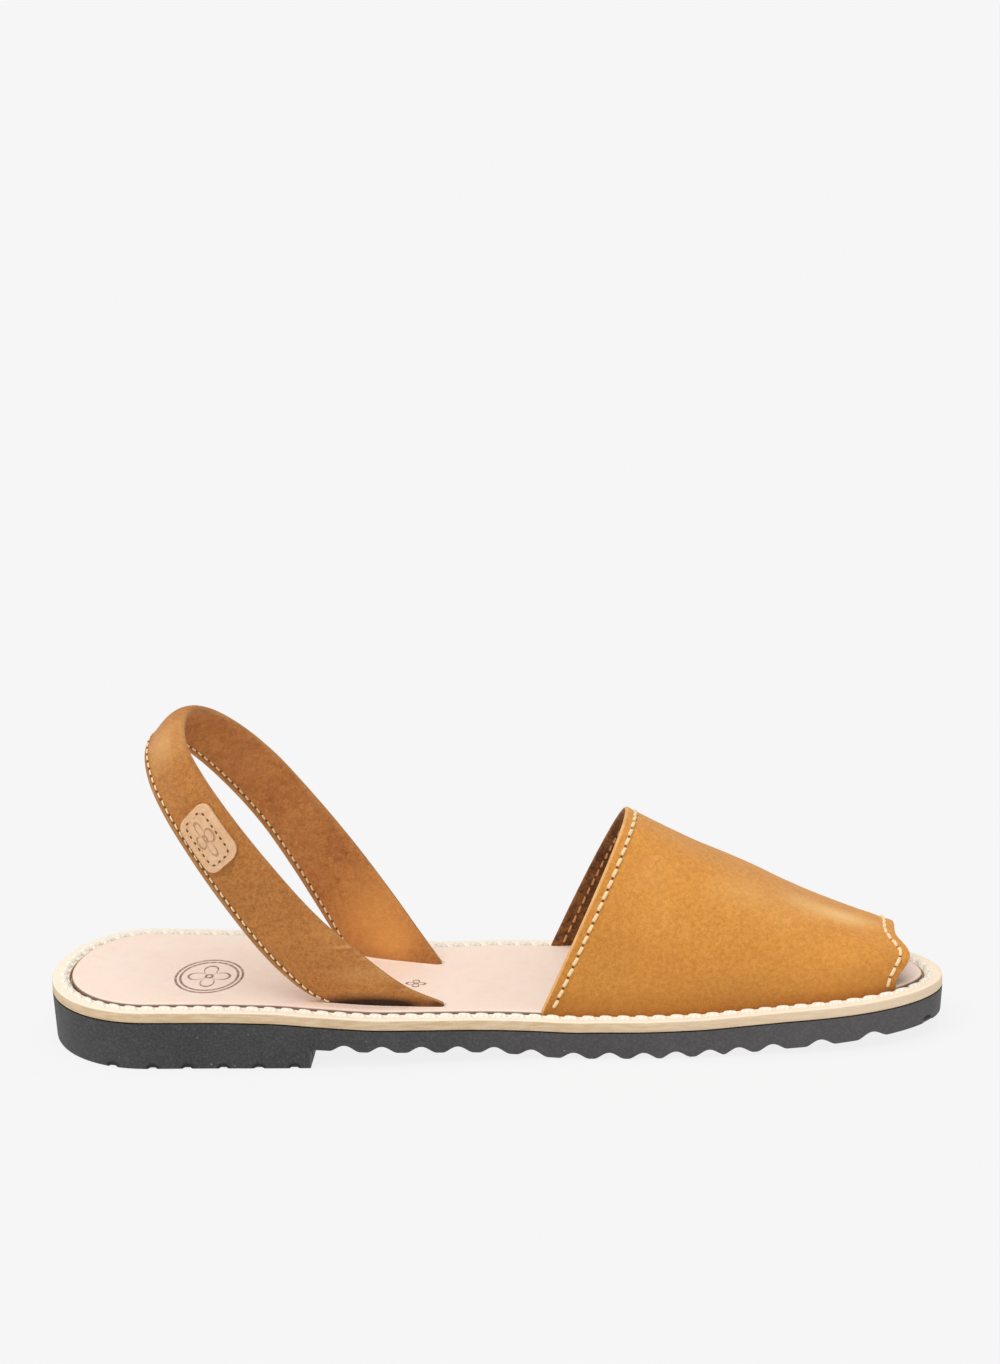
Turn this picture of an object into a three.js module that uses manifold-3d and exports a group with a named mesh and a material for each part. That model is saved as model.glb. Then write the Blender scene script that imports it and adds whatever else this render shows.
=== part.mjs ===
// A left flat sandal: rubber outsole, cream midsole with a welt rim, leather insole,
// open-toed vamp and a heel strap that comes up through two slits in the insole.
// Millimetres. +X runs from heel to toe, +Y to the outer side of the foot, +Z up.
// While it is built, x = 0 is the back of the heel, y = 0 the heel-to-toe axis and z = 0 the floor.
import * as THREE from 'three';
import Module from 'manifold-3d';
import { mergeVertices } from 'three/addons/utils/BufferGeometryUtils.js';

// Driving dimensions of the sole.
const LENGTH = 259;
const HEEL_WIDTH = 71;
const WAIST_WIDTH = 66;
const BALL_WIDTH = 78;
const HEEL_ROUND_INNER = 32; // how far forward of the heel's back each side is still rounding
const HEEL_ROUND_OUTER = 25;
const TOE_ROUND_INNER = 41; // the same back from the toe tip
const TOE_ROUND_OUTER = 58;
const TOE_SIDE = -4; // the tip lies this far to the inner side of the axis
const HEEL_HEIGHT = 13.9; // rubber under the heel
const SOLE_THICKNESS = 7.9; // rubber under the ball
const HEEL_STEP = 5.6; // height of the heel breast
const TOE_SPRING = 4.2; // lift of the rubber under the toe tip
const HEEL_BREAST_AT = 0.304; // share of LENGTH
const WALL_DRAFT = 0.6; // the rubber wall leans in by this towards the floor
const SEAM = 0.3; // clearance where two pieces meet

// Layers above the rubber.
const MIDSOLE_THICKNESS = 3.2;
const TRAY_FLOOR = 1;
const RIM_WIDTH = 5.2;
const INSOLE_PROUD = 0.6; // insole surface above the welt rim
const INSOLE_GROOVE = 0.6; // open groove between rim and insole

// Leather of the upper.
const VAMP_WALL = 2;
const VAMP_GAP = 0.5; // between the vamp's foot and the welt rim
const STRAP_WALL = 2.4;
const STRAP_HEIGHT = 82; // top of the loop above the insole at the slits
const STRAP_CROWN = 2.1; // the band bulges outwards by this between its edges
const SLIT_CLEARANCE = 0.4;
const TAG_WALL = 1.3;
const TAG_CORNER = 3;

// Tread.
const GROOVE_DEPTH = 1.8;
const GROOVE_HALF_WIDTH = 3;
const NOTCH_DEPTH = 0.9;
const NOTCH_HALF_WIDTH = 1.3;

// The sole seen from above: half-widths from the heel-to-toe axis, as shares of a named width.
const SOLE_PLAN = [
  { at: 0.0, width: HEEL_WIDTH, inner: 0.508, outer: 0.5 },
  { at: 0.09, width: HEEL_WIDTH, inner: 0.51, outer: 0.5 },
  { at: 0.19, width: HEEL_WIDTH, inner: 0.512, outer: 0.476 },
  { at: 0.29, width: HEEL_WIDTH, inner: 0.518, outer: 0.45 },
  { at: 0.36, width: WAIST_WIDTH, inner: 0.551, outer: 0.47 },
  { at: 0.42, width: WAIST_WIDTH, inner: 0.529, outer: 0.472 },
  { at: 0.49, width: WAIST_WIDTH, inner: 0.497, outer: 0.52 },
  { at: 0.56, width: BALL_WIDTH, inner: 0.402, outer: 0.473 },
  { at: 0.62, width: BALL_WIDTH, inner: 0.404, outer: 0.533 },
  { at: 0.68, width: BALL_WIDTH, inner: 0.41, outer: 0.575 },
  { at: 0.73, width: BALL_WIDTH, inner: 0.406, outer: 0.59 },
  { at: 0.78, width: BALL_WIDTH, inner: 0.388, outer: 0.583 },
  { at: 0.83, width: BALL_WIDTH, inner: 0.37, outer: 0.553 },
  { at: 0.88, width: BALL_WIDTH, inner: 0.363, outer: 0.506 },
  { at: 0.94, width: BALL_WIDTH, inner: 0.36, outer: 0.442 },
  { at: 1.0, width: BALL_WIDTH, inner: 0.359, outer: 0.385 },
];

// Top of the rubber: shares of the drop from heel to ball, plus shares of TOE_SPRING.
const HEEL_DROP = HEEL_HEIGHT - SOLE_THICKNESS;
const TOP_LINE = [
  { at: 0.0, drop: 1.0, spring: 0 },
  { at: 0.1, drop: 1.02, spring: 0 },
  { at: 0.2, drop: 1.0, spring: 0 },
  { at: 0.26, drop: 0.94, spring: 0 },
  { at: 0.32, drop: 0.72, spring: 0 },
  { at: 0.38, drop: 0.5, spring: 0 },
  { at: 0.44, drop: 0.39, spring: 0 },
  { at: 0.5, drop: 0.27, spring: 0 },
  { at: 0.55, drop: 0.12, spring: 0 },
  { at: 0.6, drop: 0.01, spring: 0 },
  { at: 0.66, drop: 0, spring: 0.03 },
  { at: 0.72, drop: 0, spring: 0.11 },
  { at: 0.79, drop: 0, spring: 0.29 },
  { at: 0.86, drop: 0, spring: 0.52 },
  { at: 0.93, drop: 0, spring: 0.72 },
  { at: 1.0, drop: 0, spring: 0.93 },
];

// Underside forward of the heel breast: lift off the floor as shares of HEEL_STEP and TOE_SPRING.
const UNDER_LINE = [
  { at: HEEL_BREAST_AT, step: 1.0, spring: 0 },
  { at: 0.36, step: 0.8, spring: 0 },
  { at: 0.42, step: 0.65, spring: 0 },
  { at: 0.49, step: 0.49, spring: 0 },
  { at: 0.53, step: 0.3, spring: 0 },
  { at: 0.57, step: 0.08, spring: 0 },
  { at: 0.6, step: 0, spring: 0 },
  { at: 0.665, step: 0, spring: 0 },
  { at: 0.72, step: 0, spring: 0.1 },
  { at: 0.79, step: 0, spring: 0.24 },
  { at: 0.85, step: 0, spring: 0.45 },
  { at: 0.92, step: 0, spring: 0.72 },
  { at: 1.0, step: 0, spring: 1.0 },
];

// Cross grooves between the lugs and small notches under the heel, as shares of LENGTH.
const GROOVES_AT = [
  0.342, 0.383, 0.426, 0.466, 0.506, 0.547, 0.593, 0.632,
  0.67, 0.705, 0.742, 0.774, 0.811, 0.864, 0.921,
];
const NOTCHES_AT = [0.083, 0.128, 0.167, 0.207, 0.2465, 0.286, 0.9825];

// The vamp. Its foot stands in the sole's groove, its crest is the line over the instep.
const COLLAR_BASE_AT = 0.557; // share of LENGTH where the collar edge meets the sole
const TOE_BASE_INNER_AT = 0.947;
const TOE_BASE_OUTER_AT = 0.925;
const COLLAR_CREST_AT = 0.651;
const TOE_CREST_AT = 0.947;
const COLLAR_HEIGHT = 52; // crest above the insole at the collar
const CREST_SIDE = 2; // the crest lies this far to the outer side of the axis
const TOE_SHOULDER_INNER = 5.7; // the toe edge swings forward by this beside its crest
const TOE_SHOULDER_OUTER = 0.5;
// How square the arch is, at collar and toe: 1 gives an ellipse, less gives a fuller side.
const ARCH_INNER = { collar: 0.85, toe: 0.68 };
const ARCH_OUTER = { collar: 0.92, toe: 0.95 };
const VAMP_CREST = [
  { along: 0.0, height: 1.0 },
  { along: 0.15, height: 0.866 },
  { along: 0.26, height: 0.771 },
  { along: 0.37, height: 0.685 },
  { along: 0.49, height: 0.586 },
  { along: 0.6, height: 0.488 },
  { along: 0.71, height: 0.402 },
  { along: 0.82, height: 0.335 },
  { along: 0.94, height: 0.275 },
  { along: 1.0, height: 0.248 },
];

// The two long edges of the strap, from the inner slit round the heel to the outer slit.
// X is a share of LENGTH, Y of HEEL_WIDTH, Z of STRAP_HEIGHT above the insole at the slits.
const SLITS_AT = 0.385;
const STRAP_PATH = [
  { rearX: 0.319, rearY: -0.35, rearZ: 0.02, foreX: 0.45, foreY: -0.337, foreZ: -0.005 },
  { rearX: 0.301, rearY: -0.366, rearZ: 0.052, foreX: 0.41, foreY: -0.354, foreZ: 0.066 },
  { rearX: 0.28, rearY: -0.38, rearZ: 0.11, foreX: 0.363, foreY: -0.376, foreZ: 0.194 },
  { rearX: 0.254, rearY: -0.39, rearZ: 0.203, foreX: 0.313, foreY: -0.386, foreZ: 0.352 },
  { rearX: 0.209, rearY: -0.394, rearZ: 0.406, foreX: 0.264, foreY: -0.383, foreZ: 0.545 },
  { rearX: 0.178, rearY: -0.38, rearZ: 0.561, foreX: 0.226, foreY: -0.359, foreZ: 0.706 },
  { rearX: 0.151, rearY: -0.338, rearZ: 0.7, foreX: 0.196, foreY: -0.296, foreZ: 0.83 },
  { rearX: 0.133, rearY: -0.254, rearZ: 0.799, foreX: 0.178, foreY: -0.218, foreZ: 0.911 },
  { rearX: 0.126, rearY: -0.155, rearZ: 0.865, foreX: 0.172, foreY: -0.127, foreZ: 0.967 },
  { rearX: 0.129, rearY: -0.056, rearZ: 0.898, foreX: 0.178, foreY: -0.021, foreZ: 0.996 },
  { rearX: 0.143, rearY: 0.049, rearZ: 0.872, foreX: 0.195, foreY: 0.077, foreZ: 0.965 },
  { rearX: 0.166, rearY: 0.141, rearZ: 0.794, foreX: 0.222, foreY: 0.155, foreZ: 0.891 },
  { rearX: 0.197, rearY: 0.206, rearZ: 0.674, foreX: 0.257, foreY: 0.217, foreZ: 0.771 },
  { rearX: 0.234, rearY: 0.242, rearZ: 0.516, foreX: 0.295, foreY: 0.244, foreZ: 0.618 },
  { rearX: 0.268, rearY: 0.252, rearZ: 0.34, foreX: 0.342, foreY: 0.246, foreZ: 0.42 },
  { rearX: 0.299, rearY: 0.245, rearZ: 0.167, foreX: 0.384, foreY: 0.223, foreZ: 0.233 },
  { rearX: 0.317, rearY: 0.237, rearZ: 0.067, foreX: 0.415, foreY: 0.186, foreZ: 0.094 },
  { rearX: 0.326, rearY: 0.23, rearZ: 0.02, foreX: 0.437, foreY: 0.149, foreZ: -0.005 },
];

// The tag's place on the strap: shares along the band and across it.
const TAG_PLACE = { from: 0.276, to: 0.34, rear: 0.2, fore: 0.77 };

const wasm = await Module();
wasm.setup();

const mix = (a, b, share) => a + (b - a) * share;

// A smooth curve through the rows of a table. It never swings past a row: the slope is level at
// a high or low row and the harmonic mean of its neighbours' slopes elsewhere.
function smooth(rows, over, value) {
  const xs = rows.map((row) => row[over]);
  const ys = rows.map(value);
  const secant = (i) => (ys[i + 1] - ys[i]) / (xs[i + 1] - xs[i]);
  const last = xs.length - 1;
  const slopes = xs.map((x, i) => {
    if (i === 0) return secant(0);
    if (i === last) return secant(last - 1);
    const [before, after] = [secant(i - 1), secant(i)];
    return before * after <= 0 ? 0 : (2 * before * after) / (before + after);
  });
  return (x) => {
    let i = 0;
    while (i < xs.length - 2 && x > xs[i + 1]) i += 1;
    const span = xs[i + 1] - xs[i];
    const t = Math.min(Math.max((x - xs[i]) / span, 0), 1);
    const t2 = t * t;
    const t3 = t2 * t;
    return (2 * t3 - 3 * t2 + 1) * ys[i] + (t3 - 2 * t2 + t) * span * slopes[i]
      + (3 * t2 - 2 * t3) * ys[i + 1] + (t3 - t2) * span * slopes[i + 1];
  };
}

const innerHalf = smooth(SOLE_PLAN, 'at', (row) => row.width * row.inner);
const outerHalf = smooth(SOLE_PLAN, 'at', (row) => row.width * row.outer);
const rubberTop = smooth(TOP_LINE, 'at',
  (row) => SOLE_THICKNESS + HEEL_DROP * row.drop + TOE_SPRING * row.spring);
const underside = smooth(UNDER_LINE, 'at', (row) => HEEL_STEP * row.step + TOE_SPRING * row.spring);
const crestHeight = smooth(VAMP_CREST, 'along', (row) => COLLAR_HEIGHT * row.height);

const midsoleBottom = (x) => rubberTop(x / LENGTH) + SEAM;
const rimTop = (x) => midsoleBottom(x) + MIDSOLE_THICKNESS;
const trayFloor = (x) => midsoleBottom(x) + TRAY_FLOOR;
const insoleTop = (x) => rimTop(x) + INSOLE_PROUD;

// A quarter ellipse: 0 at the end of the sole, 1 at its full width.
const roundEnd = (distance, reach) => {
  const left = 1 - Math.min(distance / reach, 1);
  return Math.sqrt(1 - left * left);
};

// A point of the sole's edge. side is -1 for the inner and 1 for the outer side, turn runs from 0
// at the heel's back to 1 at the toe tip, spaced closely at both round ends.
function edge(side, turn) {
  const at = (1 - Math.cos(Math.PI * turn)) / 2;
  const half = side < 0 ? innerHalf(at) : outerHalf(at);
  const heel = roundEnd(at * LENGTH, side < 0 ? HEEL_ROUND_INNER : HEEL_ROUND_OUTER);
  const toe = roundEnd((1 - at) * LENGTH, side < 0 ? TOE_ROUND_INNER : TOE_ROUND_OUTER);
  return new THREE.Vector2(at * LENGTH, side * half * heel * toe + TOE_SIDE * (1 - toe));
}

// The same point moved inwards, square to the edge.
function insetEdge(side, turn, inset) {
  const here = edge(side, turn);
  if (turn <= 0) return here.add(new THREE.Vector2(inset, 0));
  if (turn >= 1) return here.add(new THREE.Vector2(-inset, 0));
  const step = 1e-3;
  const along = edge(side, Math.min(turn + step, 1)).sub(edge(side, Math.max(turn - step, 0)));
  const inwards = new THREE.Vector2(along.y, -along.x).multiplyScalar(side).normalize();
  return here.add(inwards.multiplyScalar(inset));
}

// The turn at which the inset edge reaches a given x.
function turnAt(side, x, inset) {
  let low = 0;
  let high = 1;
  for (let i = 0; i < 40; i += 1) {
    const middle = (low + high) / 2;
    if (insetEdge(side, middle, inset).x < x) low = middle;
    else high = middle;
  }
  return (low + high) / 2;
}

// Joins closed rings of equal length into one surface, with a fan over each open end.
// A ring that has shrunk to a line needs no end.
function solidFromRings(rings) {
  const count = rings[0].length;
  const points = rings.flat();
  const faces = [];
  for (let r = 0; r < rings.length - 1; r += 1) {
    for (let i = 0; i < count; i += 1) {
      const a = r * count + i;
      const b = r * count + ((i + 1) % count);
      faces.push([a, b, b + count], [a, b + count, a + count]);
    }
  }
  for (let i = 1; i < count - 1; i += 1) {
    faces.push([0, i + 1, i]);
    const last = (rings.length - 1) * count;
    faces.push([last, last + i, last + i + 1]);
  }
  return solidFromFaces(points, faces);
}

function solidFromFaces(points, faces) {
  const geometry = new THREE.BufferGeometry();
  geometry.setAttribute('position',
    new THREE.Float32BufferAttribute(points.flatMap((p) => [p.x, p.y, p.z]), 3));
  geometry.setIndex(faces.flat());
  return solidFromGeometry(geometry);
}

function solidFromGeometry(geometry) {
  const bare = new THREE.BufferGeometry();
  bare.setAttribute('position', geometry.getAttribute('position'));
  if (geometry.index) bare.setIndex(geometry.index);
  const merged = mergeVertices(bare, 1e-4);
  const kept = [];
  const index = merged.index.array;
  for (let i = 0; i < index.length; i += 3) {
    const [a, b, c] = [index[i], index[i + 1], index[i + 2]];
    if (a !== b && b !== c && c !== a) kept.push(a, b, c);
  }
  return new wasm.Manifold(new wasm.Mesh({
    numProp: 3,
    vertProperties: merged.getAttribute('position').array,
    triVerts: new Uint32Array(kept),
  }));
}

function geometryFromSolid(solid) {
  const mesh = solid.getMesh();
  const geometry = new THREE.BufferGeometry();
  geometry.setAttribute('position', new THREE.BufferAttribute(mesh.vertProperties, 3));
  geometry.setIndex(new THREE.BufferAttribute(mesh.triVerts, 1));
  const flat = geometry.toNonIndexed();
  flat.computeVertexNormals();
  return flat;
}

// A flat outline in XY drawn up from the floor.
function uprightSolid(outline, height) {
  const shape = new THREE.Shape(outline);
  const options = { depth: height, bevelEnabled: false, steps: 1 };
  return solidFromGeometry(new THREE.ExtrudeGeometry(shape, options));
}

const at3 = (flat, z) => new THREE.Vector3(flat.x, flat.y, z);

// A plate with the sole's outline. levels are the corners of its wall from bottom to top,
// each an inset and a height that may change along x.
const PLATE_STATIONS = 56;
function plate(levels) {
  const rings = [];
  for (let i = 0; i <= PLATE_STATIONS; i += 1) {
    const turn = i / PLATE_STATIONS;
    const wall = (side) => levels.map(({ inset, height }) => {
      const flat = insetEdge(side, turn, inset);
      return at3(flat, height(flat.x));
    });
    rings.push([...wall(-1).reverse(), ...wall(1)]);
  }
  return solidFromRings(rings);
}

// The space below the tread: one outline in the XZ plane, drawn through under the whole width.
function belowTread() {
  const deep = -HEEL_HEIGHT;
  const outline = [[-LENGTH, deep], [-LENGTH, 0]];
  const breast = HEEL_BREAST_AT * LENGTH;
  const toothed = (x) => {
    const cuts = [
      ...GROOVES_AT.map((at) => ({ at, depth: GROOVE_DEPTH, half: GROOVE_HALF_WIDTH })),
      ...NOTCHES_AT.map((at) => ({ at, depth: NOTCH_DEPTH, half: NOTCH_HALF_WIDTH })),
    ];
    const base = x < breast ? 0 : underside(x / LENGTH);
    return cuts.reduce((height, cut) => {
      const away = Math.abs(x - cut.at * LENGTH) / cut.half;
      return away < 1 ? height + cut.depth * (1 - away * away) : height;
    }, base);
  };
  const xs = [breast - 1e-3, breast];
  GROOVES_AT.forEach((at) => [-1, -0.75, -0.35, 0.35, 0.75, 1].forEach((share) => {
    xs.push(at * LENGTH + share * GROOVE_HALF_WIDTH);
  }));
  NOTCHES_AT.forEach((at) => [-1, -0.6, 0.6, 1].forEach((share) => {
    xs.push(at * LENGTH + share * NOTCH_HALF_WIDTH);
  }));
  xs.sort((a, b) => a - b);
  xs.forEach((x) => outline.push([x, toothed(x)]));
  outline.push([LENGTH * 1.1, underside(1)], [LENGTH * 1.1, deep]);
  const shape = new THREE.Shape(outline.map(([x, z]) => new THREE.Vector2(x, z)));
  const width = 2 * BALL_WIDTH;
  const bar = new THREE.ExtrudeGeometry(shape, { depth: width, bevelEnabled: false, steps: 1 });
  bar.rotateX(Math.PI / 2);
  bar.translate(0, width / 2, 0);
  return solidFromGeometry(bar);
}

function outsoleSolid() {
  const top = (x) => rubberTop(x / LENGTH);
  const block = plate([
    { inset: WALL_DRAFT, height: () => -NOTCH_DEPTH },
    { inset: 0, height: top },
  ]);
  return block.subtract(belowTread());
}

function midsoleSolid() {
  const body = plate([
    { inset: 0, height: midsoleBottom },
    { inset: 0, height: rimTop },
  ]);
  const tray = plate([
    { inset: RIM_WIDTH, height: trayFloor },
    { inset: RIM_WIDTH, height: (x) => rimTop(x) + MIDSOLE_THICKNESS },
  ]);
  return body.subtract(tray);
}

// The vamp's middle surface. along runs from collar to toe opening, over from the inner base (0)
// across the crest (0.5) to the outer base (1). The first and last step of over is the foot,
// which stands upright in the sole's groove; the arch springs from the level of the insole.
const VAMP_STEPS_ALONG = 20;
const VAMP_STEPS_OVER = 40;
const FOOT = 1 / VAMP_STEPS_OVER;
const VAMP_BASE_INSET = RIM_WIDTH + VAMP_GAP + VAMP_WALL / 2;
function vampPoint(along, over) {
  const side = over < 0.5 ? -1 : 1;
  const angle = Math.PI * Math.min(Math.max((over - FOOT) / (1 - 2 * FOOT), 0), 1);
  const toeAt = side < 0 ? TOE_BASE_INNER_AT : TOE_BASE_OUTER_AT;
  const baseX = mix(COLLAR_BASE_AT, toeAt, along) * LENGTH;
  const crestX = mix(COLLAR_CREST_AT, TOE_CREST_AT, along) * LENGTH;
  const base = insetEdge(side, turnAt(side, baseX, VAMP_BASE_INSET), VAMP_BASE_INSET);
  const depth = Math.max(FOOT - over, over - 1 + FOOT, 0) / FOOT;
  const low = mix(insoleTop(base.x), trayFloor(base.x) + VAMP_GAP, depth);
  const high = insoleTop(crestX) + crestHeight(along) - VAMP_WALL / 2;
  const arch = side < 0 ? ARCH_INNER : ARCH_OUTER;
  const square = mix(arch.collar, arch.toe, along);
  const rise = Math.pow(Math.sin(angle), (1 + square) / 2);
  const spread = Math.pow(Math.abs(Math.cos(angle)), square);
  const lean = Math.pow(rise, mix(1, 1.6, along));
  const shoulder = side < 0 ? TOE_SHOULDER_INNER : TOE_SHOULDER_OUTER;
  const shape = Math.pow(Math.sin(2 * angle), 2) * Math.abs(Math.cos(angle));
  const swing = shoulder * Math.pow(along, 4) * shape;
  return new THREE.Vector3(
    mix(base.x, crestX, lean) + swing,
    CREST_SIDE + (base.y - CREST_SIDE) * spread,
    mix(low, high, rise),
  );
}

// A wall of even thickness about a surface of two shares, open at all four edges.
function wallSolid(point, stepsA, stepsB, thickness) {
  const grid = [];
  const step = 1e-3;
  for (let i = 0; i <= stepsA; i += 1) {
    for (let j = 0; j <= stepsB; j += 1) {
      const a = i / stepsA;
      const b = j / stepsB;
      const alongA = point(Math.min(a + step, 1), b).sub(point(Math.max(a - step, 0), b));
      const alongB = point(a, Math.min(b + step, 1)).sub(point(a, Math.max(b - step, 0)));
      const out = alongB.cross(alongA).normalize().multiplyScalar(thickness / 2);
      grid.push([point(a, b).add(out), point(a, b).sub(out)]);
    }
  }
  const points = [...grid.map((pair) => pair[0]), ...grid.map((pair) => pair[1])];
  const row = stepsB + 1;
  const back = grid.length;
  const faces = [];
  const quad = (a, b, c, d) => faces.push([a, b, c], [a, c, d]);
  for (let i = 0; i < stepsA; i += 1) {
    for (let j = 0; j < stepsB; j += 1) {
      const a = i * row + j;
      quad(a, a + 1, a + row + 1, a + row);
      quad(back + a, back + a + row, back + a + row + 1, back + a + 1);
    }
  }
  for (let i = 0; i < stepsA; i += 1) {
    const a = i * row;
    const b = a + stepsB;
    quad(a, a + row, back + a + row, back + a);
    quad(b + row, b, back + b, back + b + row);
  }
  for (let j = 0; j < stepsB; j += 1) {
    const a = j;
    const b = stepsA * row + j;
    quad(a + 1, a, back + a, back + a + 1);
    quad(b, b + 1, back + b + 1, back + b);
  }
  const solid = solidFromFaces(points, faces);
  if (solid.volume() > 0) return solid;
  return solidFromFaces(points, faces.map(([a, b, c]) => [a, c, b]));
}

function vampSolid() {
  return wallSolid(vampPoint, VAMP_STEPS_ALONG, VAMP_STEPS_OVER, VAMP_WALL);
}

// The strap's middle surface. along runs from the inner slit round the heel to the outer slit,
// across from the rear edge to the fore edge. The first and last LEG stand upright in the slits.
const LEG = 0.03;
const strapFoot = insoleTop(SLITS_AT * LENGTH);
function strapEdge(columnX, columnY, columnZ) {
  const points = STRAP_PATH.map((row) => {
    const x = row[columnX] * LENGTH;
    const clear = insoleTop(x) + SLIT_CLEARANCE + SEAM;
    const z = Math.max(strapFoot + row[columnZ] * STRAP_HEIGHT, clear);
    return new THREE.Vector3(x, row[columnY] * HEEL_WIDTH, z);
  });
  return new THREE.CatmullRomCurve3(points, false, 'centripetal');
}
const rearEdge = strapEdge('rearX', 'rearY', 'rearZ');
const foreEdge = strapEdge('foreX', 'foreY', 'foreZ');
function strapFlat(along, across) {
  const free = Math.min(Math.max((along - LEG) / (1 - 2 * LEG), 0), 1);
  const here = rearEdge.getPoint(free).lerp(foreEdge.getPoint(free), across);
  const depth = Math.max(LEG - along, along - 1 + LEG, 0) / LEG;
  here.z = mix(here.z, trayFloor(here.x) + SEAM, depth);
  return here;
}

// The same with its crown, which fades out towards both slits.
function strapPoint(along, across) {
  const share = Math.min(Math.max((Math.min(along, 1 - along) - 0.1) / 0.3, 0), 1);
  const crown = STRAP_CROWN * share * share * (3 - 2 * share) * 6.75 * across * across * (1 - across);
  const here = strapFlat(along, across);
  return crown > 0 ? here.add(squareTo(strapFlat, along, across).multiplyScalar(crown)) : here;
}

const STRAP_STEPS_ALONG = 100;
const STRAP_STEPS_ACROSS = 4;
function strapSolid() {
  return wallSolid(strapPoint, STRAP_STEPS_ALONG, STRAP_STEPS_ACROSS, STRAP_WALL);
}

// The tag lies on the outer face of the strap, with round corners.
function tagSolid() {
  const long = strapPoint(TAG_PLACE.from, 0.5).distanceTo(strapPoint(TAG_PLACE.to, 0.5));
  const wide = strapPoint(TAG_PLACE.from, TAG_PLACE.rear)
    .distanceTo(strapPoint(TAG_PLACE.from, TAG_PLACE.fore));
  const lift = STRAP_WALL / 2 + SEAM + TAG_WALL / 2;
  const point = (turn, b) => {
    const a = (1 - Math.cos(Math.PI * turn)) / 2;
    const toEnd = Math.min(a, 1 - a) * long;
    const into = Math.max(TAG_CORNER - toEnd, 0);
    const cut = (TAG_CORNER - Math.sqrt(TAG_CORNER * TAG_CORNER - into * into)) / wide;
    const across = mix(TAG_PLACE.rear, TAG_PLACE.fore, mix(cut, 1 - cut, b));
    const along = mix(TAG_PLACE.from, TAG_PLACE.to, a);
    return strapPoint(along, across).add(squareTo(strapPoint, along, across).multiplyScalar(lift));
  };
  return wallSolid(point, 20, 6, TAG_WALL);
}

// Square to the strap, pointing away from the foot.
function squareTo(surface, along, across) {
  const step = 1e-3;
  const forward = surface(along + step, across).sub(surface(along - step, across));
  const sideways = surface(along, across + step).sub(surface(along, across - step));
  return sideways.cross(forward).normalize();
}

// An upright slit round one leg of the strap.
function slitSolid(along) {
  const rear = strapPoint(along, 0);
  const fore = strapPoint(along, 1);
  const line = fore.clone().sub(rear).setZ(0).normalize();
  const square = new THREE.Vector3(-line.y, line.x, 0);
  const corners = [[-1, -1], [1, -1], [1, 1], [-1, 1]].map(([end, face]) => {
    const from = end < 0 ? rear : fore;
    return from.clone().addScaledVector(line, end * SLIT_CLEARANCE)
      .addScaledVector(square, face * (STRAP_WALL / 2 + SLIT_CLEARANCE));
  });
  return uprightSolid(corners.map((corner) => new THREE.Vector2(corner.x, corner.y)), 2 * HEEL_HEIGHT);
}

// Room for one foot of the vamp in the insole: an upright strip along its base line,
// longer and wider than the foot by VAMP_GAP.
const ROOM_STEPS = 24;
function footRoom(side) {
  const toeAt = side < 0 ? TOE_BASE_INNER_AT : TOE_BASE_OUTER_AT;
  const from = turnAt(side, COLLAR_BASE_AT * LENGTH - VAMP_GAP, VAMP_BASE_INSET);
  const to = turnAt(side, toeAt * LENGTH + VAMP_GAP, VAMP_BASE_INSET);
  const half = VAMP_WALL / 2 + VAMP_GAP;
  const line = (inset) => Array.from({ length: ROOM_STEPS + 1 },
    (_, i) => insetEdge(side, mix(from, to, i / ROOM_STEPS), inset));
  const outline = [...line(VAMP_BASE_INSET - half), ...line(VAMP_BASE_INSET + half).reverse()];
  return uprightSolid(outline, 2 * HEEL_HEIGHT);
}

function insoleSolid() {
  const inset = RIM_WIDTH + INSOLE_GROOVE;
  const leather = plate([
    { inset, height: (x) => trayFloor(x) + SEAM },
    { inset, height: insoleTop },
  ]);
  const rooms = [footRoom(-1), footRoom(1), slitSolid(0), slitSolid(1)];
  return rooms.reduce((rest, room) => rest.subtract(room), leather);
}

const finish = (colour, roughness) => new THREE.MeshStandardMaterial({
  color: colour, roughness, metalness: 0,
});

const parts = [
  { name: 'outsole', solid: outsoleSolid(), finish: finish('#4a4a4c', 0.75) },
  { name: 'midsole', solid: midsoleSolid(), finish: finish('#e2cda4', 0.7) },
  { name: 'insole', solid: insoleSolid(), finish: finish('#f3d9c4', 0.6) },
  { name: 'vamp', solid: vampSolid(), finish: finish('#c88a3e', 0.85) },
  { name: 'heel_strap', solid: strapSolid(), finish: finish('#c4823a', 0.85) },
  { name: 'strap_tag', solid: tagSolid(), finish: finish('#e6bd8e', 0.6) },
];

const sandal = new THREE.Group();
parts.forEach((part) => {
  const mesh = new THREE.Mesh(geometryFromSolid(part.solid), part.finish);
  mesh.name = part.name;
  sandal.add(mesh);
});

// Moves the whole sandal so that the origin is the bottom centre of its box.
const box = new THREE.Box3().setFromObject(sandal);
const centre = box.getCenter(new THREE.Vector3());
sandal.children.forEach((mesh) => mesh.geometry.translate(-centre.x, -centre.y, -box.min.z));

export default sandal;
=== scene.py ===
# %% [markdown]
# # A flat slingback sandal
#
# The real thing is a folk sandal: a moulded rubber sole, a cream welt with a thick seam, a natural
# leather insole, one broad piece of nubuck over the toes and one band round the heel.
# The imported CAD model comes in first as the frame. Every piece below is worked out in millimetres with
# x = 0 at the back of the heel, as the solids were, and is then moved into the frame.

import bmesh
import bpy
import numpy as np
from mathutils import Matrix, Vector


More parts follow.
